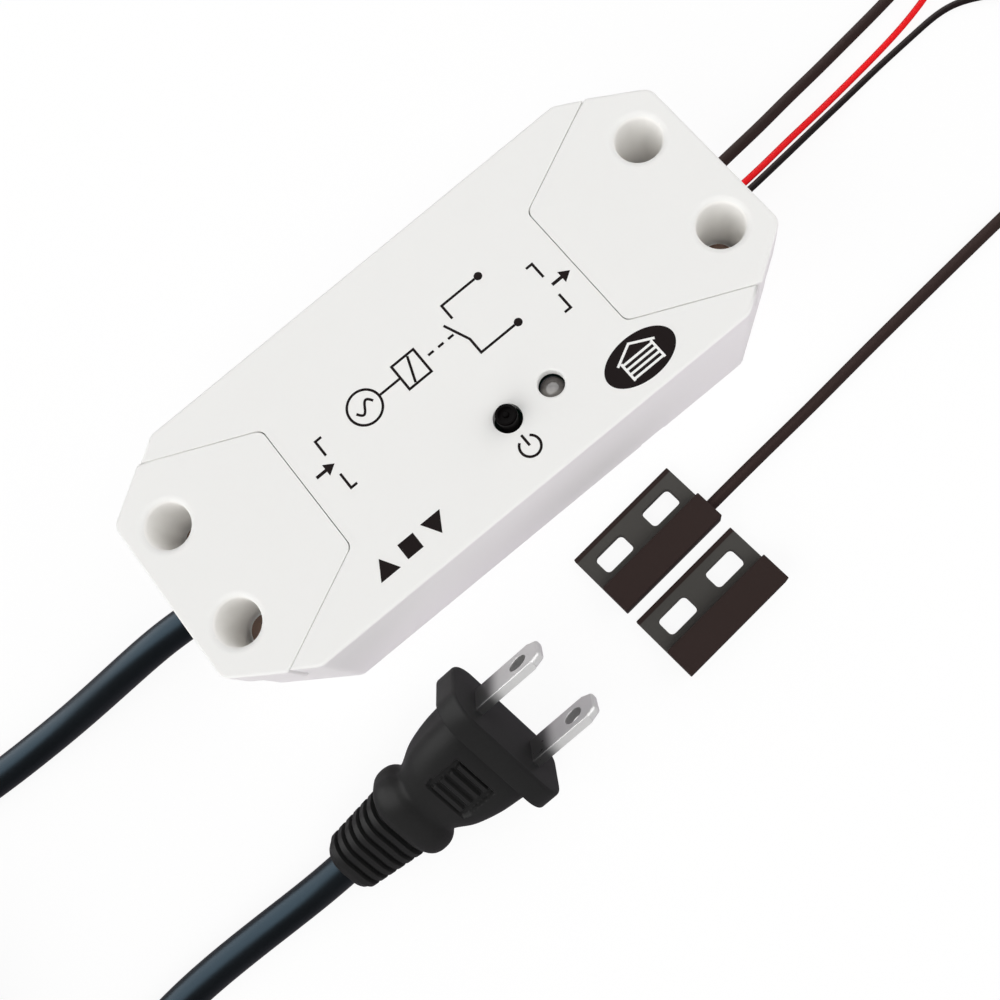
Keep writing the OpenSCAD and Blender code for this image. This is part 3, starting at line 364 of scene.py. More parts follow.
def make_finish(name, colour, look):
    """Material of a colour and a look: the grain group feeds one shader's colour, roughness and bump."""
    look = {**LOOK_DEFAULTS, **look}
    colour = look.get("colour", colour)
    material = bpy.data.materials.new(name)
    material.use_nodes = True
    tree = material.node_tree
    shader = tree.nodes["Principled BSDF"]
    grain = put(tree, "ShaderNodeGroup", node_tree=GRAIN)
    values = {
        "Colour": (*colour, 1),
        "Tone Spread": look["tone"],
        "Rough": look["rough"],
        "Rough Spread": look["rough spread"],
        "Drift Scale": look["drift"],
        "Grain Scale": look["grain"],
    }
    for socket, value in values.items():
        grain.inputs[socket].default_value = value
    if look["bands"]:
        show_bands(tree, grain, colour, look["second"], look["bands"])
    tree.links.new(grain.outputs["Colour"], shader.inputs["Base Color"])
    tree.links.new(grain.outputs["Rough"], shader.inputs["Roughness"])
    if look["bump"] > 0:
        bump = put(tree, "ShaderNodeBump")
        bump.inputs["Strength"].default_value = look["bump"]
        bump.inputs["Distance"].default_value = BUMP_DEPTH
        tree.links.new(grain.outputs["Height"], bump.inputs["Height"])
        tree.links.new(bump.outputs["Normal"], shader.inputs["Normal"])
    for socket in shader.inputs.keys():
        if socket in look:
            shader.inputs[socket].default_value = look[socket]
    return material


def slot_finishes():
    """One finish for each slot of the record, from its class, its colour and what the slot changes."""
    finishes = {}
    for row in RECORD["materials"]:
        look = {**CLASS_LOOKS[row["class"]], **SLOT_LOOKS.get(row["slot"], {})}
        finishes[row["slot"]] = make_finish(row["slot"], tuple(row["base_color"][:3]), look)
    return finishes


def shaded_case_finish(name, middle):
    """Finish of a sensor case with painted shade: its far edge as dark as its block, and the block
    darker than the flange.
    """
    look = {**CLASS_LOOKS["matte_plastic"], **SLOT_LOOKS["sensor_case"]}
    look["bands"] = [CASE_BLOCK_SHADE, (middle, SENSOR_ASIDE, *CASE_RIM_SHADE)]
    return make_finish(name, look["colour"], look)


FINISH = slot_finishes()
# Painted light in the covers' wells, painted shade in the blades' holes
FINISH["case_well_painted_light"] = make_finish("case_well_painted_light", WELL_LIGHTENED_COLOUR, WELL_LOOK)
FINISH["blade_bore_shade"] = make_finish("blade_bore_shade", BORE_SHADE_COLOUR, BORE_LOOK)
FINISH["lamp_cup"] = make_finish("lamp_cup", CUP_COLOUR, INK_LOOK)
FINISH["print_ink"] = make_finish("print_ink", INK_COLOUR, INK_LOOK)
# Painted shade on the sensor's and the magnet's blocks and far edges
FINISH["sensor_edge_shade"] = shaded_case_finish("sensor_edge_shade", SENSOR_AT)
FINISH["magnet_edge_shade"] = shaded_case_finish("magnet_edge_shade", MAGNET_AT)


def dress_cad_nodes():
    """Every CAD node shows the finish of its slot."""
    for row in RECORD["subparts"]:
        mesh = NODES[row["node"]].data
        mesh.materials.clear()
        mesh.materials.append(FINISH[row["material_slot"]])


# Cords, in millimetres as in the part's source

MAINS_W = 5.8
CABLE_W = 2
WIRE_W = 1.2
EXIT_X = 54.6
EXIT_Z = 10
TURN_GAP = 0.6
TIE_ROOM = 0.8
SENSOR_CABLE_Y = -3.55
SENSOR_CABLE_Z = 2.5


def sensor_point(x):
    """Point of the sensor cable's line inside and before the sensor, x along the sensor."""
    return SENSOR_AT + x * SENSOR_ALONG + SENSOR_CABLE_Y * SENSOR_ASIDE + [0, 0, SENSOR_CABLE_Z]


def coil(middle, inner, turns, width, way, per_turn):
    """Points of a flat coil of two layers, with a straight diameter before and after it.

    The radius falls by a step a turn to the inner one and grows again, the angle runs evenly from 90
    degrees, and the height eases from the lower to the upper layer where the spiral turns back."""
    step = width + TURN_GAP
    t = np.linspace(0, 2 * turns, round(2 * turns * per_turn) + 1)
    radius = inner + step * np.abs(turns - t)
    angle = pi / 2 + way * 2 * pi * t
    rise = np.clip((t - turns) * 2 + 0.5, 0, 1)
    height = TIE_ROOM + width / 2 + step * rise * rise * (3 - 2 * rise)
    across = middle[0] + radius * np.cos(angle)
    up = middle[1] + radius * np.sin(angle)
    points = np.column_stack([across, up, height])
    ends = way * width * np.column_stack([-np.sin(angle), np.cos(angle), 0 * angle])
    return np.vstack([points[:1] - ends[:1], points, points[-1:] + ends[-1:]])


def smooth_path(points, spacing):
    """Natural cubic spline through the points over their chord length, at even steps of its length."""
    p = np.asarray(points, float)
    h = np.linalg.norm(np.diff(p, axis=0), axis=1)
    s = np.concatenate([[0], np.cumsum(h)])
    inner = np.arange(1, len(p) - 1)
    system = np.eye(len(p))
    system[inner, inner - 1] = h[:-1]
    system[inner, inner] = 2 * (h[:-1] + h[1:])
    system[inner, inner + 1] = h[1:]
    slopes = np.diff(p, axis=0) / h[:, None]
    bends = np.zeros_like(p)
    bends[1:-1] = 6 * np.diff(slopes, axis=0)
    bends = np.linalg.solve(system, bends)
    u = np.linspace(0, s[-1], round(4 * s[-1] / spacing))
    k = np.clip(np.searchsorted(s, u, "right") - 1, 0, len(p) - 2)
    width = h[k][:, None]
    past = (u - s[k])[:, None]
    left = width - past
    line = (bends[k] * left**3 + bends[k + 1] * past**3) / (6 * width)
    line += (p[k] / width - bends[k] * width / 6) * left
    line += (p[k + 1] / width - bends[k + 1] * width / 6) * past
    gone = np.concatenate([[0], np.cumsum(np.linalg.norm(np.diff(line, axis=0), axis=1))])
    even = np.linspace(0, gone[-1], round(gone[-1] / spacing) + 1)
    return np.column_stack([np.interp(even, gone, line[:, i]) for i in range(p.shape[1])])


def tube_grid(path, radius, sides):
    """Circle carried along the path, square to it, its first point to the side and level."""
    ahead = unit(np.gradient(path, axis=0))
    side = unit(np.cross(ahead, UPWARDS))
    up = np.cross(side, ahead)
    angle = 2 * pi * np.arange(sides) / sides
    ring = np.cos(angle)[:, None] * side[:, None] - np.sin(angle)[:, None] * up[:, None]
    return path[:, None] + radius * ring


MAINS_COIL = coil((-166, -20), 22, 2.75, MAINS_W, 1, 24)
SENSOR_COIL = coil((163, -8), 5.5, 4.75, CABLE_W, -1, 20)
RED_COIL = coil((131, 3), 3.6, 2.5, WIRE_W, -1, 18)
BLACK_COIL = coil((133, -16), 3.6, 2.5, WIRE_W, -1, 18)

MAINS_LINE = np.vstack([
    [[-37.2, 0, EXIT_Z], [-46, 0, EXIT_Z], [-56, 0.1, EXIT_Z], [-62, 0.5, 9.8], [-70, 0.9, 8.4]],
    [[-78, 1.4, 6], [-86, 1.9, 3.9], [-94, 2.2, 3.05], [-104, 2.6, 2.95], [-114, 3.8, 2.95]],
    [[-126, 7.6, 3.05], [-138, 12.9, 3.25], [-150, 17.2, 3.55], MAINS_COIL[0] + [MAINS_W, 0, 0]],
    MAINS_COIL,
    [MAINS_COIL[-1] + [MAINS_W, 0, 0], [-146, -59.2, 9.2], [-136, -57.6, 6.3], [-126, -54.6, 3.9]],
    [[-116, -51.2, 3.05], [-106, -48.4, 2.95], [-96, -47, 2.95], [-86, -46.7, 2.95]],
    [[-76, -46.9, 2.95], PLUG_TAIL - MAINS_W * PLUG_WAY, PLUG_TAIL, PLUG_TAIL + 2 * PLUG_WAY],
])
SENSOR_LINE = np.vstack([
    [[44, 2.8, EXIT_Z], [50, 2.8, EXIT_Z], [56, 2.8, EXIT_Z], [62, 3.4, 9.4], [70, 4.9, 6.8]],
    [[78, 6.7, 3.8], [86, 8.1, 1.7], [94, 9.1, 1.1], [104, 10.2, 1.1], [114, 11.8, 1.1]],
    [[124, 13.8, 1.1], [134, 14.2, 1.2], [146, 11.2, 1.6], SENSOR_COIL[0] - [CABLE_W, 0, 0]],
    SENSOR_COIL,
    [SENSOR_COIL[-1] - [CABLE_W, 0, 0], [148, -26.8, 2.8], [138, -28.2, 1.5], [126, -29.8, 1.1]],
    [[112, -31.2, 1.1], [98, -32.4, 1.1], [84, -33.5, 1.1], [70, -34.7, 1.1], [56, -36, 1.1]],
    [[44, -37.2, 1.3], [34, -38.1, 1.8], sensor_point(15), sensor_point(11), sensor_point(8)],
])
RED_LINE = np.vstack([
    [[37.5, -1.905, EXIT_Z], [41, -1.905, EXIT_Z], [47, -2.4, EXIT_Z], [57, -2.4, EXIT_Z]],
    [[63, -1.9, 9.4], [71, -0.4, 6.8], [79, 1.2, 3.6], [87, 2.6, 1.3], [95, 3.6, 0.7]],
    [[104, 4.9, 0.7], [114, 7.6, 0.8], [122, 10.4, 1], RED_COIL[0] - [WIRE_W, 0, 0]],
    RED_COIL,
])
BLACK_LINE = np.vstack([
    [[37.5, -5.715, EXIT_Z], [41, -5.715, EXIT_Z], [47, -3.8, EXIT_Z], [57, -3.8, EXIT_Z]],
    [[63, -3.4, 9.4], [71, -2, 6.8], [79, -0.4, 3.6], [87, 0.9, 1.3], [95, 1.7, 0.7]],
    [[104, 2.2, 0.7], [112, 1.8, 0.7], [119, -2, 0.8], [125, -6, 1], BLACK_COIL[0] - [WIRE_W, 0, 0]],
    BLACK_COIL,
])

# Each cord with the CAD solids it stands for, and the ties and tips that go with it
CORDS = [
    {
        "name": "mains_lead", "line": MAINS_LINE, "width": MAINS_W, "spacing": 1.5, "sides": 20,
        "slot": "mains_jacket", "exit_at": (-EXIT_X, 0.1, EXIT_Z), "length": 1.3, "far_end": "plug",
        "stiffness": "medium", "nodes": ("mains_cord", "mains_coil", "mains_tail"),
        "trim": ("mains_tie",),
    },
    {
        "name": "sensor_lead", "line": SENSOR_LINE, "width": CABLE_W, "spacing": 0.8, "sides": 14,
        "slot": "sensor_jacket", "exit_at": (EXIT_X, 2.8, EXIT_Z), "length": 0.95, "far_end": "object",
        "stiffness": "limp", "nodes": ("sensor_cable", "sensor_coil", "sensor_tail"),
        "trim": ("sensor_tie",),
    },
    {
        "name": "red_lead", "line": RED_LINE, "width": WIRE_W, "spacing": 0.5, "sides": 12,
        "slot": "red_insulation", "exit_at": (EXIT_X, -2.4, EXIT_Z), "length": 0.28, "far_end": "bare",
        "stiffness": "limp", "nodes": ("red_wire", "red_coil"),
        "trim": ("wire_tips", "wire_ties"),
    },
    {
        "name": "black_lead", "line": BLACK_LINE, "width": WIRE_W, "spacing": 0.5, "sides": 12,
        "slot": "black_insulation", "exit_at": (EXIT_X, -3.8, EXIT_Z), "length": 0.28, "far_end": "bare",
        "stiffness": "limp", "nodes": ("black_wire", "black_coil"),
        "trim": ("wire_tips", "wire_ties"),
    },
]


def make_cord(cord):
    """Round cord along a smooth line, standing for its CAD solids."""
    path = smooth_path(cord["line"], cord["spacing"])
    points, faces = closed_grid(tube_grid(path, cord["width"] / 2, cord["sides"]))
    piece = add_piece(cord["name"], points, faces, FINISH[cord["slot"]])
    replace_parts(piece, *cord["nodes"])


def make_cords():
    """The mains lead with its plug, the sensor's cable and the two output wires."""
    for cord in CORDS:
        make_cord(cord)


# Plug body

FLANGE = (12, 7.7, 4.5)
FLANGE_FRONT_R = 0.6
FLANGE_BACK = -3.7
FLANGE_BACK_EDGE = [(0.2, 0), (0.05, -0.06), (0, -0.25)]
NECK_ROOT = [(-3.72, 9.85, 6.45, 4.2), (-3.82, 9.55, 6.2, 4.1)]
NECK_SECTIONS = [
    (-3.85, 9.4, 6.05, 4), (-6, 9.2, 6.02, 4.05), (-8.5, 9, 5.96, 4.1), (-10, 8.8, 5.9, 4.2),
    (-12, 8.4, 5.78, 4.3), (-14, 7.8, 5.6, 4.4), (-15.4, 7.1, 5.28, 4.3), (-16.4, 6.6, 5, 4.2),
    (-17.2, 6.4, 4.85, 4.2), (-18.4, 7.2, 5.45, 4.6), (-20, 7.7, 5.85, 4.8), (-21.8, 7.4, 5.65, 4.6),
    (-22.6, 6.7, 5.1, 4.2), (-23, 6, 4.7, 3.8),
]
NECK_STEP = 0.12
SLEEVE_START = -23
SLEEVE_LAND = -33.8
SLEEVE_FRONT = np.array([6.1, 4.7, 3.6])
SLEEVE_TAPER = np.array([1.1, 0.8, 0.3])
SLEEVE_END = [
    (-34.2, 4.7, 3.75, 3.2), (-34.7, 4.5, 3.6, 3.1), (-34.95, 4.25, 3.4, 3), (-35, 3.9, 3.1, 2.8),
]
SLEEVE_ROWS = 132
SLEEVE_RIBS = 6
RIB_DEPTH = 0.85
RIB_FALL = (0, 0.14)
RIB_RISE = (0.36, 0.52)
CORNER_STEPS = 12
BROAD_STEPS = 56
NARROW_STEPS = 10
RECESS_X = -10.2
RECESS_HALF = (3.3, 4.1)
RECESS_FLOOR = 5.05
BROAD_SHARE = 0.6
BAR_PITCH = 1.7
BAR_PLACES = (-1.5, -0.5, 0.5, 1.5)
BAR_HALF = (0.45, 3.1)
BAR_DROP = 0.12
EDGE_SOFT = 0.12


def smooth_step(low, high, x):
    """Rise from 0 below low to 1 above high, level at both ends."""
    s = np.clip((x - low) / (high - low), 0, 1)
    return s * s * (3 - 2 * s)


def ring_template():
    """Rounded rectangle: shares of its straight sides (columns 0, 1) and its corner radius (2, 3)."""
    turn = np.linspace(0, pi / 2, CORNER_STEPS, endpoint=False)
    columns = []
    for quarter, steps in enumerate((BROAD_STEPS, NARROW_STEPS, BROAD_STEPS, NARROW_STEPS)):
        corner = np.array([[1, 1], [-1, 1], [-1, -1], [1, -1]])[quarter]
        after = np.array([[-1, 1], [-1, -1], [1, -1], [1, 1]])[quarter]
        angle = turn + quarter * pi / 2
        arc = np.column_stack([np.tile(corner, (CORNER_STEPS, 1)), np.cos(angle), np.sin(angle)])
        share = np.linspace(0, 1, steps)[:, None]
        out = (quarter + 1) * pi / 2
        outward = np.tile([cos(out), sin(out)], (steps, 1))
        side = np.column_stack([corner + (after - corner) * share, outward])
        columns += [arc, side[:-1]]
    return np.vstack(columns)


def plug_sections():
    """Rows of place, half width, half height and corner radius from the plug's face back to its cord.

    The flange's front edge is a quarter round, the neck a smooth line through its sections, and the
    sleeve a straight taper with a soft groove in each rib's length."""
    turn = np.linspace(0, pi / 2, 7)
    inset = FLANGE_FRONT_R * (1 - np.sin(turn))
    front = np.column_stack([-FLANGE_FRONT_R * (1 - np.cos(turn)), *[size - inset for size in FLANGE]])
    back = [(FLANGE_BACK + ahead, *(np.array(FLANGE) + grown)) for ahead, grown in FLANGE_BACK_EDGE]
    neck = smooth_path(NECK_SECTIONS, NECK_STEP)
    x = np.linspace(SLEEVE_START - 0.08, SLEEVE_LAND, SLEEVE_ROWS)
    along = (SLEEVE_START - x) / (PLUG_LENGTH + SLEEVE_START)
    phase = (SLEEVE_START - x) / (SLEEVE_START - SLEEVE_LAND) * SLEEVE_RIBS % 1
    groove = RIB_DEPTH * smooth_step(*RIB_FALL, phase) * (1 - smooth_step(*RIB_RISE, phase))
    sizes = SLEEVE_FRONT - SLEEVE_TAPER * along[:, None] - groove[:, None]
    sleeve = np.column_stack([x, sizes])
    return np.vstack([front, back, NECK_ROOT, neck, sleeve, SLEEVE_END])


def window(x, half):
    """1 where x lies within half of 0, with soft edges."""
    return 1 - smooth_step(half - EDGE_SOFT, half + EDGE_SOFT, np.abs(x))


def make_plug():
    """Moulded plug: rounded rectangles through its sections, with a barred recess in both broad sides.

    It is worked out with its nose along +X, then turned by its roll and pitch and moved to its place."""
    rows = plug_sections()
    x, half_y, half_z, corner = (rows[:, i, None] for i in range(4))
    side_y, side_z, arc_y, arc_z = ring_template()[::-1].T
    y = (half_y - corner) * side_y + corner * arc_y
    z = (half_z - corner) * side_z + corner * arc_z
    x = x + 0 * y
    pressed = window(x - RECESS_X, RECESS_HALF[0]) * window(y, RECESS_HALF[1])
    bars = sum(window(x - RECESS_X - i * BAR_PITCH, BAR_HALF[0]) for i in BAR_PLACES)
    bars = bars * window(y, BAR_HALF[1])
    depth = np.clip(np.abs(z) - RECESS_FLOOR, 0, None)
    lowered = pressed * (depth * (1 - bars) + np.minimum(depth, BAR_DROP) * bars)
    z = z - np.sign(z) * lowered * (np.abs(z) > BROAD_SHARE * half_z)
    points, faces = closed_grid(np.stack([x, y, z], -1) @ PLUG_TURN.T + PLUG_AT)
    piece = add_piece("plug_moulding", points, faces, FINISH["plug_vinyl"])
    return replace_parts(piece, "plug_body")


# Rounded copies of CAD nodes

FLAT_ANGLE = radians(1)
EDGE_ANGLE = radians(25)
MERGE = 1e-6
CAD_NORMALS = "custom_normal"


def rounded_copy(node, name, slot, rounding, segments=3, body=BOX, finish=None):
    """Copy of a CAD node with its triangles merged and its outward edges rounded.

    rounding gives an edge's radius in millimetres from its middle and direction, or 0 to leave it."""
    mesh = NODES[node].data.copy()
    form = bmesh.new()
    form.from_mesh(mesh)
    bmesh.ops.remove_doubles(form, verts=form.verts, dist=MERGE)
    bmesh.ops.dissolve_limit(form, angle_limit=FLAT_ANGLE, verts=form.verts, edges=form.edges)
    weight = form.edges.layers.float.new("bevel_weight_edge")
    widest = 0
    for edge in form.edges:
        if edge.is_manifold and edge.calc_face_angle_signed() > EDGE_ANGLE:
            ends = np.array([v.co for v in edge.verts]) / MM
            edge[weight] = rounding(ends.mean(0), unit(ends[1] - ends[0]))
            widest = max(widest, edge[weight])
    for edge in form.edges:
        edge[weight] /= widest
    form.to_mesh(mesh)
    form.free()
    if CAD_NORMALS in mesh.attributes:
        mesh.attributes.remove(mesh.attributes[CAD_NORMALS])
    piece = show_mesh(name, mesh, FINISH[finish or slot], body)
    bevel = piece.modifiers.new("rounded_edges", "BEVEL")
    bevel.limit_method = "WEIGHT"
    bevel.width = widest * MM
    bevel.segments = segments
    bevel.use_clamp_overlap = False
    bevel.loop_slide = False
    piece.modifiers.new("even_shading", "WEIGHTED_NORMAL").keep_sharp = True
    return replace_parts(piece, node)


TOP_Z = 24
COVER_RIM_Z = 14.5
SIDE_Y = 23.7
END_X = 55
SLANT = np.array([0.5547, 0.83205])
SLANT_AT = 43.239
HOLE_AT = np.array([48, 9.8])
HOLE_R = 3.8
OUTER_R = 0.45
HOLE_RIM_R = 1.0
LAMP_RIM_R = 0.35
SEAM_R = 0.05
FOOT_R = 0.3
CASE_R = 0.15
BLADE_R = 0.15
BLADE_TIP_R = 0.45
BLADE_TIP_X = 11.4
BLADE_ROOT_X = 0.5

# How near an edge or a face has to lie to one of these places
NEAR = 0.05
RIM_REACH = 0.1
WALL_REACH = 0.6
SHELL_SLANT_REACH = 0.8
COVER_SLANT_REACH = 0.5


def level(way):
    """True for a direction that lies level."""
    return abs(way[2]) < 0.1


def shell_rounding(middle, way):
    """Outer top edges are rounded most, seams and small holes only eased, and the foot a little."""
    x, y, z = np.abs(middle)
    outside = y > SIDE_Y - WALL_REACH or SLANT @ (x, y) > SLANT_AT - SHELL_SLANT_REACH
    if not level(way):
        return 0
    if z > TOP_Z - NEAR:
        if np.hypot(*(middle[:2] - LAMP_AT)) < LAMP_HOLE_R + RIM_REACH:
            return LAMP_RIM_R
        return OUTER_R if outside else SEAM_R
    if z < NEAR and outside:
        return FOOT_R
    return 0


def cover_rounding(middle, way):
    """Outer top edges and the deep holes' rims are rounded, seams and the lower rim only eased."""
    x, y, z = np.abs(middle)
    outside = x > END_X - WALL_REACH or SLANT @ (x, y) > SLANT_AT - COVER_SLANT_REACH
    if not level(way):
        return 0
    if z > TOP_Z - NEAR:
        if np.hypot(*(HOLE_AT - (x, y))) < HOLE_R + RIM_REACH:
            return HOLE_RIM_R
        return OUTER_R if outside else SEAM_R
    if abs(z - COVER_RIM_Z) < NEAR and outside:
        return SEAM_R
    return 0


def case_rounding(middle, way):
    """Sensor and magnet: every outward edge but those of the underside is eased."""
    return CASE_R if middle[2] > RIM_REACH else 0


def blade_rounding(middle, way):
    """Blades: the tips are bevelled wide, the long edges and the holes eased."""
    along = (middle - PLUG_AT) @ PLUG_WAY
    if along > BLADE_TIP_X:
        return BLADE_TIP_R
    return BLADE_R if along > BLADE_ROOT_X else 0


def paint(piece, finish, chosen):
    """A second finish on the faces chosen by their middles, in millimetres, and their normals."""
    faces = piece.data.polygons
    middles, normals = np.empty((2, len(faces), 3), np.float32)
    faces.foreach_get("center", middles.ravel())
    faces.foreach_get("normal", normals.ravel())
    piece.data.materials.append(FINISH[finish])
    faces.foreach_set("material_index", chosen(middles / MM, normals).astype(np.int32))
    return piece


def in_well(middles, normals):
    """True for the upright walls of the covers' deep holes, which take a lighter white as painted light.
    """
    aside = HOLE_AT - np.abs(middles[:, :2])
    return (np.hypot(*aside.T) < HOLE_R + RIM_REACH) & (np.abs(normals[:, 2]) < 0.5)


def in_blade_bore(middles, normals):
    """True for the walls of the holes through the blades, which take a dark grey as painted shade."""
    away = middles - PLUG_AT
    across = np.hypot(away @ PLUG_WAY - BLADE_HOLE_X, away @ PLUG_UP)
    return (across < BLADE_HOLE_R + RIM_REACH) & (np.abs(normals @ PLUG_ASIDE) < 0.5)


def make_cases():
    """Housing, covers, sensor, magnet and blades with their rounded edges; painted light on the wells'
    walls, painted shade in the blades' holes and on the cases' blocks and far edges.
    """
    rounded_copy("main_shell", "housing_shell", "white_case", shell_rounding, 4)
    for node, name in (("input_cover", "input_end_cover"), ("output_cover", "output_end_cover")):
        # Painted light: the wells' walls take the lightened white
        paint(rounded_copy(node, name, "white_case", cover_rounding, 5), "case_well_painted_light", in_well)
    # Sensor and magnet carry painted shade on their block and far edge
    rounded_copy("sensor_housing", "sensor_case", "sensor_case", case_rounding, finish="sensor_edge_shade")
    rounded_copy(
        "magnet_housing", "magnet_case", "sensor_case", case_rounding,
        body="door_magnet", finish="magnet_edge_shade",
    )
    blades = rounded_copy("plug_blades", "plug_pins", "blade_metal", blade_rounding, 2)
    # Painted shade in the holes through the blades
    return paint(blades, "blade_bore_shade", in_blade_bore)


# Button and lamp

TURNED_SIDES = 64
STEM_R = 1.75
STEM_RIM_R = 0.22
LENS_R = 2.02
LENS_DOME = 0.9
LENS_STEPS = 14
POLE_GAP = 0.02

# Profiles of radius and height, above the foot or from the top
STEM_FOOT = [(0.05, 0), (2.25, 0), (2.3, 0.05), (2.3, 0.6), (STEM_R, 0.62)]
STEM_TOP = [
    (1.3, 0), (1.2, -0.04), (1.1, -0.12), (0.55, -0.2), (0.5, -0.14), (0.4, -0.06), (0.02, -0.04),
]
LENS_FOOT = [(0.03, 0), (1.85, 0), (1.9, 0.05), (1.9, 0.95), (1.95, 1), (LENS_R, 1.02)]
CUP_PROFILE = [
    (0.03, 0.6), (0.32, 0.62), (0.34, 1.7), (0.62, 2.2), (0.66, 2.52),
    (0.6, 2.54), (0.42, 2.28), (0.16, 2.25), (0.15, 2.37), (0.02, 2.38),
]


def turned(name, profile, centre, slot, body=BOX, finish=None):
    """Profile of radius and height, from foot to top, turned round an upright line at the centre."""
    radius, height = np.array(profile, float).T
    angle = 2 * pi * np.arange(TURNED_SIDES) / TURNED_SIDES
    grid = np.stack([
        centre[0] + radius[:, None] * np.cos(angle),
        centre[1] + radius[:, None] * np.sin(angle),
        height[:, None] + 0 * angle,
    ], -1)
    points, faces = closed_grid(grid)
    return add_piece(name, points, faces, FINISH[finish or slot], body)


def raised(profile, height):
    """Profile moved up by a height."""
    return [(radius, height + z) for radius, z in profile]


def rounded_rim(radius, top, r, steps=6):
    """Profile points of a quarter round of radius r at the top edge of a turned form."""
    turn = np.linspace(0, pi / 2, steps)
    return [(radius - r + r * cos(a), top - r + r * sin(a)) for a in turn]


def make_button():
    """Black stem with its switch collar, a ring round its dished top and a small mark in the middle."""
    low, high = (corner.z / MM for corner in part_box("button"))
    profile = raised(STEM_FOOT, low) + rounded_rim(STEM_R, high, STEM_RIM_R) + raised(STEM_TOP, high)
    piece = turned("button_stem", profile, BUTTON_AT, "black_button", "push_button")
    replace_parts(piece, "button")


def make_lamp():
    """Clear lamp: a straight lens under a quarter of an ellipse, round a small cup on its post."""
    low, high = (corner.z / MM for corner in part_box("lamp"))
    turn = np.linspace(0, pi / 2 - POLE_GAP, LENS_STEPS)
    dome = [(LENS_R * cos(a), LENS_DOME * (sin(a) - 1)) for a in turn]
    lens = turned("lamp_lens", raised(LENS_FOOT, low) + raised(dome, high), LAMP_AT, "clear_lens")
    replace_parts(lens, "lamp")
    turned("lamp_cup", raised(CUP_PROFILE, low), LAMP_AT, "lead_metal", finish="lamp_cup")


# Plain print on the top face

INK_LOW = 23.97
INK_HIGH = 24.02
INK_STROKE = 0.42

# Arrows and corner marks at the two ends
ARROW_REACH = 3.6
ARROW_HEAD = (1.7, 1.1)
ARROW_STROKE = 0.55
CORNER_Y = (1.9, 4.8)

# Wiring diagram: supply, coil box, dashes, and the contact with its two leads
DIAGRAM_Y = 4
SUPPLY_X = -12.2
SUPPLY_R = 2.9
WAVE = (1.7, 0.9)
COIL_BOX = [(-5, 1.6), (-0.6, 1.6), (-0.6, 6.4), (-5, 6.4)]
COIL_SLASH = [(-3.6, 1.85), (-2, 6.15)]
DASHES_X = (0.6, 2.6, 4.6)
DASH = 1.1
CONTACT_X = 7.2
CONTACT_ARM = [(CONTACT_X, 1.7), (5.4, 6.2)]
CONTACT_TOP = (CONTACT_X, 6.2)
LEADS_Y = (-1.2, 9)
LEADS_END_X = 13.9
DOT_R = 0.7

# Signs for the door and the power, and the badge
UP_SIGN = [(-26.9, -19.6), (-23.1, -19.6), (-25, -16.4)]
STOP_SIGN = [(-21.5, -19.4), (-18.5, -19.4), (-18.5, -16.6), (-21.5, -16.6)]
DOWN_SIGN = [(-13.1, -16.4), (-16.9, -16.4), (-15, -19.6)]
POWER_AT = (3.6, -17.8)
POWER_R = 1.7
POWER_BAR_Y = (-17.7, -15.6)
BADGE_AT = (25, -18)
BADGE_R = (6.3, 3.75)
BADGE_ROOF = [(21.4, -17.1), (25, -15.2), (28.6, -17.1)]
BADGE_SLATS_X = (22.3, 27.7)
BADGE_SLATS_Y = (-17.4, -18.3, -19.2, -20.1)
BADGE_POSTS_X = (22.1, 27.9)
BADGE_POSTS_Y = (-17, -20.4)
BADGE_INK = {"width": 0.4, "low": INK_HIGH - 0.01, "high": INK_HIGH + 0.03}


def print_stroke(line, width=INK_STROKE, looped=False, low=INK_LOW, high=INK_HIGH):
    """Flat stroke, and whether it is looped: a thin rectangle carried along a level line, with mitres.

    Its half width points along the sum of the normals of the two lengths that meet at a point,
    divided by one plus their product."""
    line = np.asarray(line, float)
    after = np.roll(line, -1, axis=0) - line
    if not looped:
        after[-1] = after[-2]
    after = unit(after)
    before = np.roll(after, 1, axis=0)
    if not looped:
        before[0] = after[0]
    along = (before + after) / (1 + np.sum(before * after, axis=1, keepdims=True))
    aside = np.column_stack([-along[:, 1], along[:, 0]]) * width / 2
    rows = []
    for share, height in ((1, high), (-1, high), (-1, low), (1, low)):
        rows.append(np.column_stack([line + share * aside, np.full(len(line), height)]))
    return np.stack(rows, 1), looped


def print_patch(outline, low=INK_LOW, high=INK_HIGH):
    """Flat filled patch: an outline drawn at two heights, to be capped."""
    outline = np.asarray(outline, float)
    return np.stack([np.column_stack([outline, np.full(len(outline), z)]) for z in (low, high)]), False


def arc_line(centre, radius, start, stop, steps=40):
    """Line along a circle, or an ellipse given by two radii, between two angles in degrees."""
    angle = np.radians(np.linspace(start, stop, steps))
    across, up = np.broadcast_to(radius, 2)
    return np.column_stack([centre[0] + across * np.cos(angle), centre[1] + up * np.sin(angle)])


def print_piece(name, shapes, finish):
    """All strokes and patches of one ink as one piece."""
    points, faces, first = [], [], 0
    for grid, looped in shapes:
        some, more = closed_grid(grid, first, looped)
        points.append(some)
        faces += more
        first += len(some)
    return add_piece(name, np.vstack(points), faces, FINISH[finish])


def arrow(x):
    """Arrow along +X on the middle line: a shaft and a filled head."""
    length, half = ARROW_HEAD
    tip = x + ARROW_REACH
    neck = tip - length
    head = print_patch([(neck, half), (neck, -half), (tip, 0)])
    return [print_stroke([(x, 0), (neck, 0)], ARROW_STROKE), head]


def corner_marks(x, lip):
    """Two corner marks, above and below the middle line, whose lips point along X."""
    near, far = CORNER_Y
    return [print_stroke([(x, s * near), (x, s * far), (x + lip, s * far)]) for s in (-1, 1)]


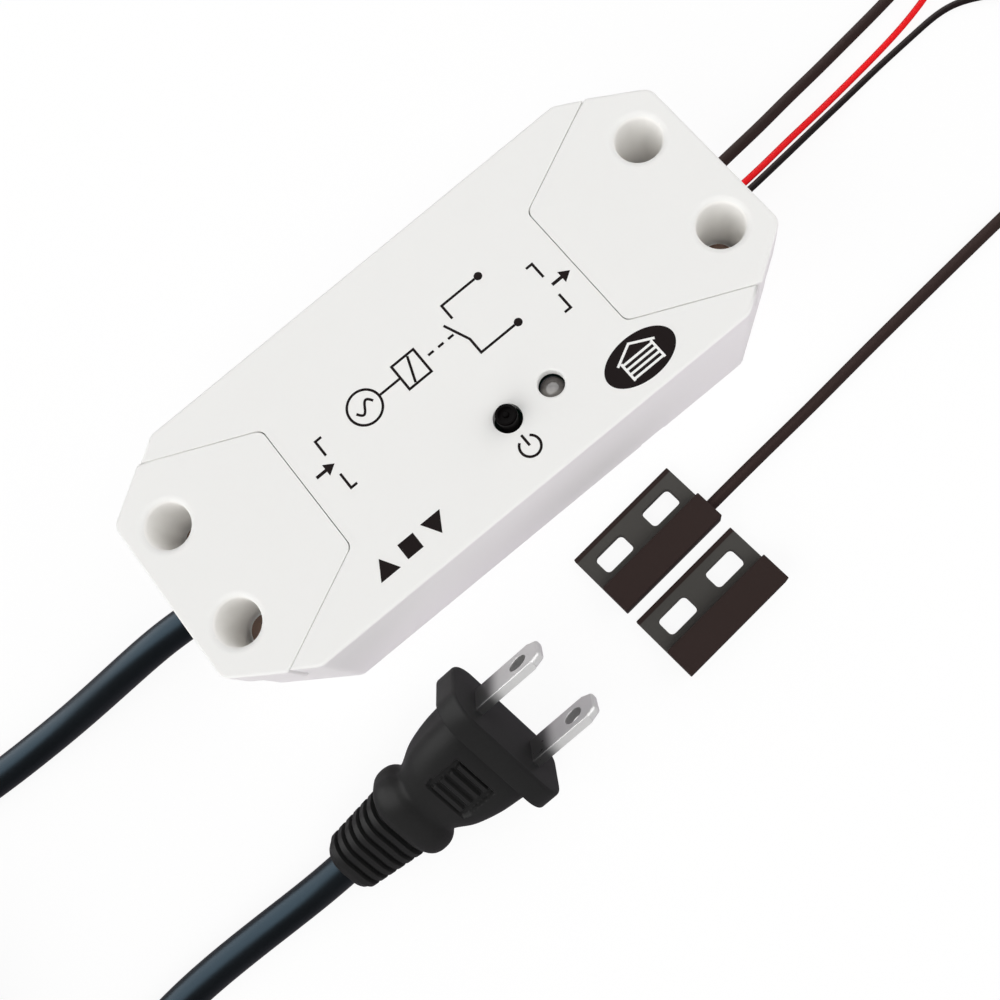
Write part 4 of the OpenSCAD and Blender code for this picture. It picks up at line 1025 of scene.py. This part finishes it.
def wiring_diagram():
    """Supply, coil box, and the contact that the coil draws."""
    wave = np.linspace(-1, 1, 30)
    wave = np.column_stack([SUPPLY_X + WAVE[0] * wave, DIAGRAM_Y + WAVE[1] * np.sin(pi * wave)])
    lead = (SUPPLY_X + SUPPLY_R + INK_STROKE / 2, COIL_BOX[0][0] - INK_STROKE / 2)
    low, high = LEADS_Y
    marks = [print_stroke(arc_line((SUPPLY_X, DIAGRAM_Y), SUPPLY_R, 0, 354, 60), looped=True)]
    marks.append(print_stroke(wave))
    marks.append(print_stroke([(x, DIAGRAM_Y) for x in lead]))
    marks.append(print_stroke(COIL_BOX, looped=True))
    marks.append(print_stroke(COIL_SLASH))
    marks += [print_stroke([(x, DIAGRAM_Y), (x + DASH, DIAGRAM_Y)]) for x in DASHES_X]
    marks.append(print_stroke([(LEADS_END_X, low), (CONTACT_X, low), *CONTACT_ARM]))
    marks.append(print_stroke([CONTACT_TOP, (CONTACT_X, high), (LEADS_END_X, high)]))
    dots = [(LEADS_END_X + DOT_R, y) for y in (high, low)]
    marks += [print_patch(arc_line(dot, DOT_R, 0, 345, 24)) for dot in dots]
    return marks


def door_signs():
    """Signs for up, stop and down, and the power sign under the button."""
    marks = [print_patch(sign) for sign in (UP_SIGN, STOP_SIGN, DOWN_SIGN)]
    marks.append(print_stroke(arc_line(POWER_AT, POWER_R, 125, 415)))
    marks.append(print_stroke([(POWER_AT[0], y) for y in POWER_BAR_Y]))
    return marks


def badge_door():
    """Outline of a garage door, drawn on the badge."""
    marks = [print_stroke(BADGE_ROOF, **BADGE_INK)]
    marks += [print_stroke([(x, y) for x in BADGE_SLATS_X], **BADGE_INK) for y in BADGE_SLATS_Y]
    marks += [print_stroke([(x, y) for y in BADGE_POSTS_Y], **BADGE_INK) for x in BADGE_POSTS_X]
    return marks


def make_print():
    """Plain pictograms in black, and a door in white on a black badge."""
    ink = arrow(-24.9) + arrow(22.4)
    ink += corner_marks(-21.6, 1.2) + corner_marks(22.2, -1.2)
    ink += wiring_diagram() + door_signs()
    ink.append(print_patch(arc_line(BADGE_AT, BADGE_R, 0, 354, 60)))
    print_piece("print_black", ink, "print_ink")
    print_piece("print_white", badge_door(), "white_case")


# Light and floor

AMBIENT = (0.097, 0.092, 0.103)
ROOM_LEVEL = 0.12
WINDOW_WAY = (0, 0.707, 0.707)
WINDOW_EDGE = (0.5, 0.7)
WINDOW_LEVEL = 5
SUNS = {
    "key": {"way": (-0.03, 0.34, -0.94), "strength": 0.75, "angle": 0.9, "shadow": True},
    "fill_left": {"way": (0.95, 0.15, -0.27), "strength": 2.85, "angle": 1.6, "shadow": True},
    "fill_right": {"way": (-0.95, 0.15, -0.27), "strength": 1.9, "angle": 1.6, "shadow": True},
    "fill_front": {"way": (0, 0.95, -0.31), "strength": 0.18, "angle": 0.9, "shadow": False},
    "fill_back": {"way": (0, -0.8, -0.6), "strength": 0.25, "angle": 0.9, "shadow": False},
}
SUN_COLOUR = (1, 1, 0.985)
FLOOR_COLOUR = 0.12
FLOOR_LIGHT = 0.89
FLOOR_MIRRORED = 0.24
FLOOR_TINT = (0.72, 0.64, 0.735)
FLOOR_HALF = 3.0
WHITE = (1, 1, 1)


def background(tree, colour):
    """Background node of a colour."""
    node = put(tree, "ShaderNodeBackground")
    node.inputs["Color"].default_value = (*colour, 1)
    return node


def choose(tree, share, first, second):
    """Mix of two shaders by a share."""
    mix = put(tree, "ShaderNodeMixShader")
    tree.links.new(share, mix.inputs["Fac"])
    tree.links.new(first.outputs[0], mix.inputs[1])
    tree.links.new(second.outputs[0], mix.inputs[2])
    return mix


def make_world():
    """Even pale light on the object, a dim room with one broad window to mirror, and white to look at.

    In a world the position is the ray's direction; its product with the window's direction gives the
    window, bright in the middle and soft at its edge."""
    world = bpy.data.worlds.new("studio")
    SCENE.world = world
    world.use_nodes = True
    tree = world.node_tree
    tree.nodes.clear()
    path = put(tree, "ShaderNodeLightPath").outputs
    mirrored = math(tree, "SUBTRACT", path["Is Glossy Ray"], path["Is Transmission Ray"])
    toward = put(tree, "ShaderNodeVectorMath", operation="DOT_PRODUCT")
    tree.links.new(put(tree, "ShaderNodeNewGeometry").outputs["Position"], toward.inputs[0])
    toward.inputs[1].default_value = WINDOW_WAY
    pane = put(tree, "ShaderNodeMapRange", interpolation_type="SMOOTHSTEP")
    tree.links.new(toward.outputs["Value"], pane.inputs["Value"])
    limits = {
        "From Min": WINDOW_EDGE[0],
        "From Max": WINDOW_EDGE[1],
        "To Min": ROOM_LEVEL,
        "To Max": WINDOW_LEVEL,
    }
    for socket, value in limits.items():
        pane.inputs[socket].default_value = value
    room = background(tree, WHITE)
    tree.links.new(pane.outputs["Result"], room.inputs["Strength"])
    lit = choose(tree, mirrored, background(tree, AMBIENT), room)
    seen = choose(tree, path["Is Camera Ray"], lit, background(tree, WHITE))
    tree.links.new(seen.outputs[0], put(tree, "ShaderNodeOutputWorld").inputs["Surface"])


def make_sun(name, way, strength, angle, shadow):
    """Broad lamp that shines along a direction, and isn't mirrored."""
    data = bpy.data.lights.new(name, "SUN")
    data.energy = strength
    data.angle = angle
    data.use_shadow = shadow
    data.color = SUN_COLOUR
    sun = bpy.data.objects.new(name, data)
    sun.visible_glossy = False
    sun.rotation_euler = Vector(way).to_track_quat("-Z", "Y").to_euler()
    SCENE.collection.objects.link(sun)


def make_floor():
    """White table lit from below: it keeps a faint shadow, mirrors dimly and tints what it lights."""
    mesh = bpy.data.meshes.new("floor")
    corners = FLOOR_HALF * np.array([[-1, -1, 0], [1, -1, 0], [1, 1, 0], [-1, 1, 0]])
    mesh.from_pydata(corners.tolist(), [], [(0, 1, 2, 3)])
    material = bpy.data.materials.new("floor")
    material.use_nodes = True
    material.cycles.emission_sampling = "NONE"
    tree = material.node_tree
    tree.nodes.clear()
    paper = put(tree, "ShaderNodeBsdfDiffuse")
    paper.inputs["Color"].default_value = (FLOOR_COLOUR, FLOOR_COLOUR, FLOOR_COLOUR, 1)
    glow = put(tree, "ShaderNodeEmission")
    path = put(tree, "ShaderNodeLightPath").outputs
    dimmed = math(tree, "MULTIPLY", path["Is Glossy Ray"], FLOOR_MIRRORED - FLOOR_LIGHT)
    tree.links.new(math(tree, "ADD", dimmed, FLOOR_LIGHT), glow.inputs["Strength"])
    tint = put(tree, "ShaderNodeMix", data_type="RGBA")
    tree.links.new(path["Is Camera Ray"], tint.inputs["Factor"])
    tint.inputs[MIX_FIRST].default_value = (*FLOOR_TINT, 1)
    tint.inputs[MIX_SECOND].default_value = (*WHITE, 1)
    tree.links.new(tint.outputs[MIX_RESULT], glow.inputs["Color"])
    both = put(tree, "ShaderNodeAddShader")
    tree.links.new(paper.outputs[0], both.inputs[0])
    tree.links.new(glow.outputs[0], both.inputs[1])
    tree.links.new(both.outputs[0], put(tree, "ShaderNodeOutputMaterial").inputs["Surface"])
    mesh.materials.append(material)
    floor = bpy.data.objects.new("floor", mesh)
    SCENE.collection.objects.link(floor)


SCENE.view_settings.view_transform = "Standard"
make_camera()
plug = make_plug()
blades = make_cases()
make_cords()
dress_cad_nodes()
make_button()
make_lamp()
make_print()
make_world()
for name, sun in SUNS.items():
    make_sun(name, **sun)
make_floor()
